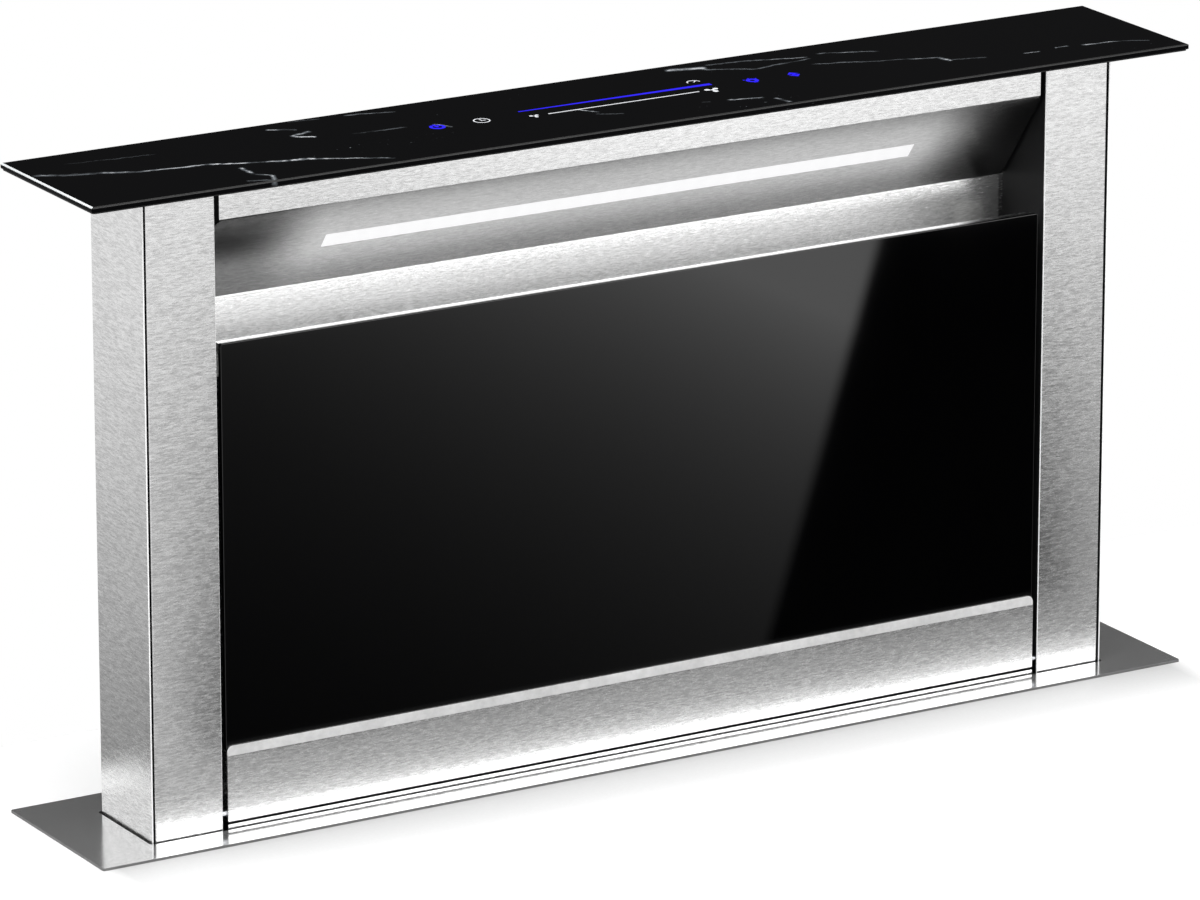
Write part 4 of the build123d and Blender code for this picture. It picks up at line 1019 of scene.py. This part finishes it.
# ================================================================ grease filters
def mesh_layer(bm, low, high, y, cell, strand):
    """Expanded metal: diamonds of cell width and height, in strands. Sizes are in mm, but for y."""
    cell_x, cell_z = cell[0] * mm, cell[1] * mm
    count = math.ceil((high.x - low.x) / cell_x + (high.z - low.z) / cell_z) + 2
    count += count % 2
    stretch = Matrix.Diagonal((cell_x / math.sqrt(2), 1, cell_z / math.sqrt(2), 1))
    middle = Matrix.Translation(((low.x + high.x) / 2, y, (low.z + high.z) / 2))
    before = set(bm.faces)

    def layer():
        return [f for f in bm.faces if f not in before]

    bmesh.ops.create_grid(bm, x_segments=count, y_segments=count, size=count / 2,
                          matrix=middle @ stretch @ spun(45, "Y") @ spun(90, "X"))
    for point, way in ((low, (-1, 0, 0)), (low, (0, 0, -1)), (high, (1, 0, 0)), (high, (0, 0, 1))):
        geom = layer() + list({e for f in layer() for e in f.edges}) + points_of(layer())
        bmesh.ops.bisect_plane(bm, geom=geom, dist=1e-6, plane_co=point, plane_no=way, clear_outer=True)
    bmesh.ops.wireframe(bm, faces=layer(), thickness=strand * mm, offset=0.0, use_replace=True,
                        use_boundary=True, use_even_offset=True)


def filter_mesh(side_name):
    """Three layers of expanded metal, the middle one coarser."""
    low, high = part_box(f"{side_name}_filter_mesh")
    bm = bmesh.new()
    mesh_layer(bm, low, high, low.y + 0.7 * mm, (12, 7.2), 1.2)
    mesh_layer(bm, low, high, (low.y + high.y) / 2, (19, 12), 1.5)
    mesh_layer(bm, low, high, high.y - 0.8 * mm, (12.6, 7.6), 1.2)
    hang(bm, f"{side_name}_expanded_mesh", mesh_metal, stands_for=f"{side_name}_filter_mesh", smooth=20)


def filter_latch(side_name):
    """Sliding latch: a plate with a tongue at the top and a ribbed thumb piece."""
    low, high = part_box(f"{side_name}_filter_latch")
    middle = (low.x + high.x) / 2
    plate = high.y - 2.4 * mm
    bm = bmesh.new()
    slab(bm, (low.x, plate, low.z), (high.x, high.y, high.z), 1.5, 0.3, axis=1)
    slab(bm, (middle - 8 * mm, low.y + 0.7 * mm, low.z + 2 * mm),
         (middle + 8 * mm, plate + 0.2 * mm, low.z + 14 * mm), 2, 0.8, axis=1)
    for i in range(5):
        z = low.z + (3.7 + 2.05 * i) * mm
        slab(bm, (middle - 6.5 * mm, low.y, z), (middle + 6.5 * mm, low.y + 1.4 * mm, z + 1 * mm),
             0.3, 0.3, axis=0, segments=2)
    hang(bm, f"{side_name}_latch_slide_piece", stands_for=f"{side_name}_filter_latch")


for side_name, side in sides:
    filter_mesh(side_name)
    filter_latch(side_name)


# ================================================================ lift
screw_at = (362.5, -4.0)     # X to each side and Y of the lift screws' axes, in mm
thread_foot = -569.2         # mm: Z of the thread's lower end, where the pulley's top is
pulley_foot = -581.2
lead = 20 * mm
broken_end = 1 * mm


def on_screw(side, z=0):
    """A place on a lift screw's axis, z in metres."""
    return Matrix.Translation((side * screw_at[0] * mm, screw_at[1] * mm, z))


def screw_thread(foot, top):
    """Four-start trapezoidal thread about the Z axis, and its broken end."""
    bm = bmesh.new()
    place = Matrix.Translation((0, 0, foot))
    points = []
    for start in range(4):
        for radius, angle in ((5.95, 0), (5.95, 15), (5.95, 30), (5.0, 45), (5.0, 60), (5.0, 75)):
            turn = math.radians(90 * start + angle)
            points.append((radius * mm * math.cos(turn), radius * mm * math.sin(turn)))
    ring = ring_of(bm, points, place=place)
    length = top - foot - broken_end
    steps = round(length / mm)
    made = bmesh.ops.spin(bm, geom=ring + list({v for e in ring for v in e.verts}), cent=place.translation,
                          axis=(0, 0, 1), angle=-2 * math.pi * length / lead, steps=steps,
                          dvec=(0, 0, length / steps), use_duplicate=False)["geom_last"]
    drawn(bm, edges_in(made), Matrix.Translation((0, 0, top - broken_end)), broken_end, 0.82, close=True)
    return mesh_from(bm, "screw_thread")


def lift_screw(side_name, side, thread):
    """The screw with the pulley at its foot."""
    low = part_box(f"{side_name}_lift_screw")[0].z / mm
    place = on_screw(side)
    bm = bmesh.new()
    bm.from_mesh(thread)
    bmesh.ops.translate(bm, verts=bm.verts, vec=place.translation)
    rim = ((14.7, 0), (15, 0.3), (15, 1.1), (14.7, 1.4), (12, 1.6))
    pulley = [(r, pulley_foot + h) for r, h in rim] + [(r, thread_foot - h) for r, h in reversed(rim)]
    shaft = [(0, low), (4.6, low), (5, low + 0.4), (5, pulley_foot)]
    collar = [(6.2, thread_foot), (6.0, thread_foot + 1.0), (0, thread_foot + 1.0)]
    turned(bm, shaft + pulley + collar, 40, place)
    hang(bm, f"{side_name}_lift_screw_thread", stands_for=f"{side_name}_lift_screw", smooth=28)


def screw_nuts():
    """Bronze nuts, each with a flange of four holes."""
    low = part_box("screw_nuts")[0]
    bm = bmesh.new()
    for side in (-1, 1):
        place = on_screw(side, low.z + 6 * mm)
        edges = circle_of(bm, (0, 0), 20.94 * mm, 48, place) + circle_of(bm, (0, 0), 6.05 * mm, 32, place)
        for i in range(4):
            angle = math.radians(45 + 90 * i)
            hole = (17 * mm * math.cos(angle), 17 * mm * math.sin(angle))
            edges += circle_of(bm, hole, 2.2 * mm, 16, place)
        sheet_from(bm, edges, Vector((0, 0, -6 * mm)), 0.4)
        barrel = [(6.05, 0), (13, 0), (13, 23.2), (12.2, 24), (6.8, 24), (6.05, 23.3), (6.05, 0)]
        turned(bm, barrel, 48, place)
    hang(bm, "flanged_screw_nuts", stands_for="screw_nuts")


def screw_bearings():
    """Square flanges with four screws each, and the ball bearing in its barrel."""
    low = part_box("screw_bearings")[0]
    half = 22 * mm
    bm = bmesh.new()
    for side in (-1, 1):
        place = on_screw(side, low.z + 4 * mm)
        edges = ring_of(bm, oblong(-half, half, -half, half), 4, place)
        edges += circle_of(bm, (0, 0), 5.05 * mm, 32, place)
        sheet_from(bm, edges, Vector((0, 0, -4 * mm)), 0.4)
        barrel = [(5.05, 0), (17, 0), (16.6, 11.2), (15.8, 12), (13.4, 12), (13.0, 11), (8.4, 11), (8.0, 12),
                  (5.05, 12), (5.05, 0)]
        turned(bm, barrel, 48, place)
        for x in (-17, 17):
            for y in (-17, 17):
                cross_screw(bm, place @ shift(x, y, 0), 3, 1.8, 1.5, 3.5, turn=x * y)
    outwards(bm)
    hang(bm, "screw_bearing_blocks", stands_for="screw_bearings")


def lift_belt():
    """Toothed belt: the straight runs show their teeth, 5 mm apart."""
    low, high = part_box("lift_belt")

    def teeth(bm):
        for side in (-1, 1):
            y = screw_at[1] * mm + side * 12.05 * mm
            inner, outer = y - side * 0.9 * mm, y + side * 0.1 * mm
            for i in range(141):
                x = (i - 70) * 5 * mm
                block(bm, (x - 1.3 * mm, min(inner, outer), low.z + 0.1 * mm),
                      (x + 1.3 * mm, max(inner, outer), high.z - 0.1 * mm))

    dressed("lift_belt", edge=0.15, segments=1, extra=teeth)


def lift_motor():
    """Gear motor: a ribbed gearbox and a can with its end cap and two screws."""
    shaft = [(0, -616.2), (5.05, -616.2), (5.05, -601.2), (21.2, -601.2), (22, -602)]
    ribs = []
    for i in range(5):
        z = -607 - 5 * i
        ribs += [(22, z), (20.8, z - 0.6), (20.8, z - 1.8), (22, z - 2.4)]
    can = [(22, -642.4), (21.2, -643.2), (19, -643.2), (19, -648), (18.4, -648.5), (18.4, -650), (19, -650.5),
           (19, -694), (18.4, -694.4), (18.4, -695.4), (19, -695.8), (19, -703.2), (18.4, -704.6),
           (17, -705.2), (7, -705.2), (6.4, -704.4), (0, -704.4)]

    def screws(bm, place):
        for turn in (0, 180):
            head = on_screw(-1) @ spun(turn) @ shift(12.5, 0, -704.6) @ spun(180, "X")
            cross_screw(bm, head, 2.2, 0.55, 1.2, 2)

    centre = (-screw_at[0], screw_at[1], 0)
    round_piece("lift_gear_motor", "lift_motor", shaft + ribs + can, centre, (0, 0, 1), 48, screws)


thread = screw_thread(thread_foot * mm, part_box("left_lift_screw")[1].z)
for side_name, side in sides:
    lift_screw(side_name, side, thread)
bpy.data.meshes.remove(thread)
screw_nuts()
screw_bearings()
lift_belt()
lift_motor()


# ================================================================ blower
wheel_height = -330.0     # mm: Z of the blower's axis, which crosses the middle of the vent
wheel_disc = -145.5       # mm: Y of the wheel's disc
cover_face = -161.5       # mm: Y of the cover's outer face
blade_count = 36


def fan_wheel():
    """Wheel with bent blades between a disc and a ring."""
    place = upright((0, wheel_disc * mm, wheel_height * mm), (0, 1, 0))
    bm = bmesh.new()
    bend = [(80.3, -1.6), (84.2, 0.2), (88.4, 1.1), (92.6, 1.0), (96.6, -0.2)]
    strip_of(bm, [place @ Vector((x * mm, y * mm, 1.5 * mm)) for x, y in bend], (0, 76.3 * mm, 0))
    bmesh.ops.solidify(bm, geom=bm.faces[:], thickness=1.1 * mm)
    outwards(bm)
    others = blade_count - 1
    bmesh.ops.spin(bm, geom=bm.verts[:] + bm.edges[:] + bm.faces[:], cent=place.translation, axis=(0, 1, 0),
                   angle=2 * math.pi * others / blade_count, steps=others, use_duplicate=True)
    shaft = [(0, -39), (3.6, -39), (4, -38.6), (4, 0)]
    disc = [(60, 0), (61, 0), (97.6, 0), (98, 0.4), (98, 1.6), (97.6, 2), (40, 2), (38, 2.6), (22, 2.6)]
    hub = [(17, 3.4), (16, 5), (16, 25.2), (15.2, 26), (6, 26), (5, 24.6), (0, 24.6)]
    ring = [(95.8, 64), (98, 64), (98, 77.4), (97.4, 78), (96.4, 78), (95.8, 77.4), (95.8, 64)]
    for profile in (shaft + disc + hub, ring):
        turned(bm, profile, 72, place)
    hang(bm, "fan_wheel_blades", stands_for="impeller")


def blower_motor():
    """Motor on the blower's cover: flange with four screws, cooling ribs and a bearing boss."""
    shaft = [(0, 22), (4.05, 22), (4.05, 0), (61.2, 0), (62, 0.6), (62, 1.2), (61.2, 1.8), (55, 1.8)]
    ribs = []
    for i in range(7):
        h = 7 + 4.6 * i
        ribs += [(55, h), (52.6, h + 0.7), (52.6, h + 2.3), (55, h + 3)]
    boss = [(55, 42), (53.8, 44.8), (51, 46), (22, 46), (20.5, 44.2), (15, 44.2), (14, 45.6), (13, 46),
            (5, 46), (4.5, 45), (0, 45)]

    def screws(bm, place):
        for count, first, radius, height, sizes in ((4, 45, 58.4, 1.8, (3.2, 2.0, 1.8, 2.5)),
                                                    (3, 30, 40, 45.9, (3.0, 1.6, 1.6, 2.5))):
            for i in range(count):
                at = place @ spun(first + 360 / count * i) @ shift(radius, 0, height)
                cross_screw(bm, at, *sizes, turn=i)

    centre = (0, cover_face, wheel_height)
    round_piece("ribbed_blower_motor", "blower_motor", shaft + ribs + boss, centre, forwards, 64, screws)


def blower_cover():
    """Cover with a pressed ring round the motor and screws along its edge."""
    def pressed(bm):
        place = upright((0, cover_face * mm, wheel_height * mm), forwards)
        bead = [(72, -0.6), (72, 0.1), (72.8, 0.9), (75.2, 0.9), (76, 0.1), (76, -0.6), (72, -0.6)]
        turned(bm, bead, 72, place)
        for x, z in ((-113, -322), (-80, -248), (0, -208), (88, -246), (133, -310), (149, -360), (149, -430),
                     (149, -490), (19, -490), (19, -452), (-60, -428), (-104, -372)):
            at = upright((x * mm, cover_face * mm, z * mm), forwards)
            cross_screw(bm, at, 3.0, 1.6, 1.5, 3, turn=x + z)
        outwards(bm)

    dressed("blower_cover", edge=0.3, extra=pressed)


fan_wheel()
blower_motor()
blower_cover()
for plain, broken in (
    ("blower_scroll", 0.3), ("outlet_collar", 0.35), ("front_flap", 0.15), ("rear_flap", 0.15),
):
    dressed(plain, edge=broken)


# ================================================================ control box
def control_lid():
    """Lid with a raised field of ribs and four screws."""
    low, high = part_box("control_lid")
    face = low.y
    bm = bmesh.new()
    slab(bm, low, high, 2, 0.5, axis=1)
    slab(bm, (low.x + 22 * mm, face - 0.8 * mm, low.z + 14 * mm),
         (high.x - 22 * mm, face + 0.5 * mm, high.z - 14 * mm), 4, 0.4, axis=1)
    for i in range(9):
        z = low.z + (39 + 14 * i) * mm
        slab(bm, (low.x + 34 * mm, face - 1.6 * mm, z - 1 * mm),
             (high.x - 34 * mm, face - 0.5 * mm, z + 1 * mm), 0.8, 0.35, axis=1, segments=2)
    hang(bm, "control_lid_ribbed", stands_for="control_lid")
    bm = bmesh.new()
    for x in (low.x + 9 * mm, high.x - 9 * mm):
        for z in (low.z + 9 * mm, high.z - 9 * mm):
            cross_screw(bm, upright((x, face, z), forwards), 3.2, 1.8, 1.6, 2.5, turn=300 * x + 90 * z)
    outwards(bm)
    hang(bm, "control_lid_screws", beside="control_lid", slot="zinc_steel")


def control_parts():
    """What stands on the control board: relays, a transformer, two chips, terminals and capacitors."""
    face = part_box("control_board")[0].y
    bm = bmesh.new()
    relays = [(x, -268, 19, 15, 15) for x in (-350, -326, -302)]
    transformer = (-262, -285, 36, 32, 27)
    chips = [(-300, -345, 22, 22, 3), (-246, -350, 14, 14, 2.5)]
    for x, z, width, height, depth in (*relays, transformer, *chips):
        slab(bm, ((x - width / 2) * mm, face - depth * mm, (z - height / 2) * mm),
             ((x + width / 2) * mm, face, (z + height / 2) * mm), 1, 0.5, axis=1, segments=2)
    for i in range(7):
        x = (-350 + 12 * i) * mm
        slab(bm, (x - 5.5 * mm, face - 14 * mm, -402 * mm), (x + 5.5 * mm, face, -386 * mm), 0.6, 0.4,
             segments=2)
    hang(bm, "control_relays", beside="control_board", slot="black_plastic")
    bm = bmesh.new()
    for x, z, radius, tall in (
        (-352, -318, 9, 25), (-352, -345, 9, 25), (-328, -318, 6, 16), (-240, -385, 5, 12),
    ):
        can = [(0, 0), (radius, 0), (radius, tall * 0.15), (radius - 0.6, tall * 0.2), (radius, tall * 0.25),
               (radius, tall - 0.8), (radius - 0.8, tall), (radius - 2, tall - 0.4), (0, tall - 0.4)]
        turned(bm, can, 28, upright((x * mm, face, z * mm), forwards))
    hang(bm, "control_capacitors", beside="control_board", slot="aluminium")
    dressed("control_board", edge=0.15)


def mains_gland():
    """Cable gland: ribbed dome nut, hexagon and the thread through the box's wall. Its cable is left out."""
    dome = [(3.6, -432), (3.6, -442), (6.4, -442), (7.4, -441.4), (8.1, -438), (8.6, -433), (9, -426),
            (9, -420), (6.9, -420)]
    thread = []
    for i in range(6):
        z = -419 + 1.4 * i
        thread += [(7.0, z), (6.4, z + 0.7)]
    bore = [(6.4, -410), (3.6, -410), (3.6, -432)]

    def grips(bm, place):
        hexagon(bm, 11, -426, -420, place, 0.5)
        for i in range(12):
            at = place @ spun(30 * i) @ shift(0, 0, -433) @ shift(8.5, 0, 0)
            size = Matrix.Diagonal((1.0 * mm, 1.2 * mm, 10 * mm, 1))
            rib = bmesh.ops.create_cube(bm, size=1, matrix=at @ size)["verts"]
            round_over(bm, sharp_edges(bm, 60, rib), 0.3, 1)

    centre = (-295, -87, 0)
    round_piece("mains_gland_ribbed", "mains_gland", dome + thread + bore, centre, (0, 0, 1), 40, grips)


control_lid()
control_parts()
mains_gland()


# ================================================================ what only needs its edges broken
for plain in (
    "filter_carrier", "left_filter_frame", "right_filter_frame", "tower_base", "glide_blocks", "door_pan",
    "housing_front", "housing_rear", "housing_left", "housing_right", "housing_bottom",
    "left_guide_rail", "right_guide_rail", "mounting_brackets", "control_box",
):
    dressed(plain, edge=0.2)

# the CAD nodes themselves carry the same finishes, those that nothing stands for too
for name, obj in frame["nodes"].items():
    # the tray under the glass is black
    material = black_coat_and_painted_shade if name == "top_tray" else finishes[slot_of[name]]
    if not obj.material_slots:
        obj.data.materials.append(material)
    for place in obj.material_slots:
        place.material = material


# ================================================================ worktop that the vent is let into
worktop_outline = (-0.62, 0.66, -0.53, 0.2)          # x low, x high, y low, y high
cut_out = (-0.408, 0.408, -0.064, 0.056)
worktop_thick = 38 * mm
flange_outline = (-0.46, 0.46, -0.10, 0.12)
room_outline = (-4, 5, -6, 5)


def staged(bm, name, material):
    piece = added(name, mesh_from(bm, name, material))
    return piece


def frame_shape(bm, outer, inner, z, outer_corner, inner_corner):
    """The outlines of a flat sheet with an opening, both with round corners."""
    edges = ring_of(bm, oblong(*outer), outer_corner) + ring_of(bm, oblong(*inner), inner_corner)
    bmesh.ops.translate(bm, verts=bm.verts, vec=(0, 0, z))
    return edges


def worktop():
    """Pale worktop with the cut-out that the vent hangs in, with a painted contact shadow in front of the
    vent's foot.
    """
    material, tree, shader = finish("pale_worktop", Roughness=0.55, Emission_Color=(1, 1, 1, 1))
    speck = noise(tree, 400, 3.0)
    path = node(tree, "ShaderNodeLightPath")
    seen = larger(path.outputs["Is Camera Ray"], path.outputs["Is Glossy Ray"])
    x, y, _ = point_of(tree)
    # painted contact shadow: colour and brightness fall to 0.56 just in front of the flange and come back
    # over 90 mm, only within its width
    shade = between(minus(times(y, -1.0), 0.07), 0.0, 0.09, 0.56, 1.0)
    shade = blend(step(unsigned(x), 0.44, 0.02), shade, 1.0)
    shade = blend(step(y, -0.06, 0.02), shade, 1.0)
    stone_and_painted_shadow = times(between(speck, 0.3, 0.7, 0.80, 0.84), shade)
    colour = tones(stone_and_painted_shadow, (0.0, grey(0.0)), (1.0, grey(1.0)))
    put(shader, colour, None, speck, 0.05, glow=times(seen, 0.36, shade))
    bm = bmesh.new()
    edges = frame_shape(bm, worktop_outline, cut_out, -0.02 * mm, 20, 6)
    sheet_from(bm, edges, Vector((0, 0, -worktop_thick)), 2)
    staged(bm, "worktop", material)


def room_floor():
    """What the steel and the door mirror of the room's floor: dim near the worktop, brighter far away, and
    in front of the door a sheet of light with a slanted end. Nothing else sees it."""
    material = bpy.data.materials.new("room_floor")
    material.use_nodes = True
    tree = material.node_tree
    tree.nodes.clear()
    x, y, _ = point_of(tree)
    ahead_of = minus(times(y, -1.0), 0.04)
    reach = larger(minus(unsigned(x), 0.39), minus(unsigned(y), 0.04))
    at_hand = blend(step(y, 0.0, 0.1), between(x, -0.25, 0.45, 0.44, 0.30), 0.25)
    room = smaller(plus(at_hand, times(reach, 0.50)), 0.84)

    def past_line(at, lean):
        return minus(x, plus(at, times(ahead_of, lean)))

    right_of_start = step(past_line(-0.36, 0.53), 0.0, 0.02)
    left_of_end = step(past_line(0.36, 0.67), 0.0, 0.02, 1.0, 0.0)
    on_door = times(right_of_start, left_of_end, step(ahead_of, 0.15, 0.03))
    glow = smaller(times(worked_out("POWER", math.e, times(x, 4.4)), 0.055), 1.3)
    cut_off = step(past_line(0.085, 0.747), 0.0, 0.012, 1.0, 0.0)
    far_light = between(x, 0.35, 1.3, 0.87, 1.30)
    door_light = blend(step(ahead_of, 1.10, 0.05), times(glow, cut_off), far_light)
    light = node(tree, "ShaderNodeEmission", {"Strength": blend(on_door, room, door_light)})
    node(tree, "ShaderNodeOutputMaterial", {"Surface": light.outputs["Emission"]})
    bm = bmesh.new()
    filled(bm, frame_shape(bm, room_outline, flange_outline, 1.0 * mm, 200, 10), normal=(0, 0, 1))
    card = staged(bm, "room_floor", material)
    card.visible_camera = False
    card.visible_diffuse = False
    card.visible_transmission = False
    card.visible_shadow = False


def studio():
    """White paper below the horizon and a dim room above it; the camera sees white all round."""
    world = bpy.data.worlds.new("studio")
    scene.world = world
    world.use_nodes = True
    tree = world.node_tree
    tree.nodes.clear()
    direction = node(tree, "ShaderNodeTexCoord").outputs["Generated"]
    x, y, z = node(tree, "ShaderNodeSeparateXYZ", {"Vector": direction}).outputs
    behind = blend(step(x, 0.0, 0.5, 1.0, 0.0), 0.06, 0.90)
    walls = blend(step(y, 0.0, 0.8, 1.0, 0.0), behind, 0.85)
    above = blend(step(z, 0.65, 0.3), walls, 0.35)
    room = blend(step(z, -0.03, 0.08, 1.0, 0.0), above, 0.9)
    path = node(tree, "ShaderNodeLightPath")
    seen = larger(path.outputs["Is Camera Ray"], path.outputs["Is Transmission Ray"])
    light = node(tree, "ShaderNodeBackground", {"Color": room, "Strength": 1.0})
    paper = node(tree, "ShaderNodeBackground", {"Color": (1, 1, 1, 1), "Strength": 1.0})
    mixed = node(tree, "ShaderNodeMixShader", {
        "Fac": seen, 1: light.outputs["Background"], 2: paper.outputs["Background"]})
    node(tree, "ShaderNodeOutputWorld", {"Surface": mixed.outputs["Shader"]})


def softbox(name, at, towards, size, power):
    light = bpy.data.lights.new(name, "AREA")
    light.shape = "RECTANGLE"
    light.size, light.size_y = size
    light.energy = power
    aim = (Vector(towards) - Vector(at)).to_track_quat("-Z", "Y").to_matrix().to_4x4()
    box = added(name, light)
    box.matrix_world = Matrix.Translation(at) @ aim
    box.visible_camera = False


worktop()
room_floor()
studio()
softbox("top_softbox", (-0.3, -0.6, 2.6), (0, 0, 0.1), (3.0, 2.2), 70)
softbox("front_softbox", (1.36, -2.67, 1.15), (0, 0, 0.25), (1.7, 1.4), 15.5)
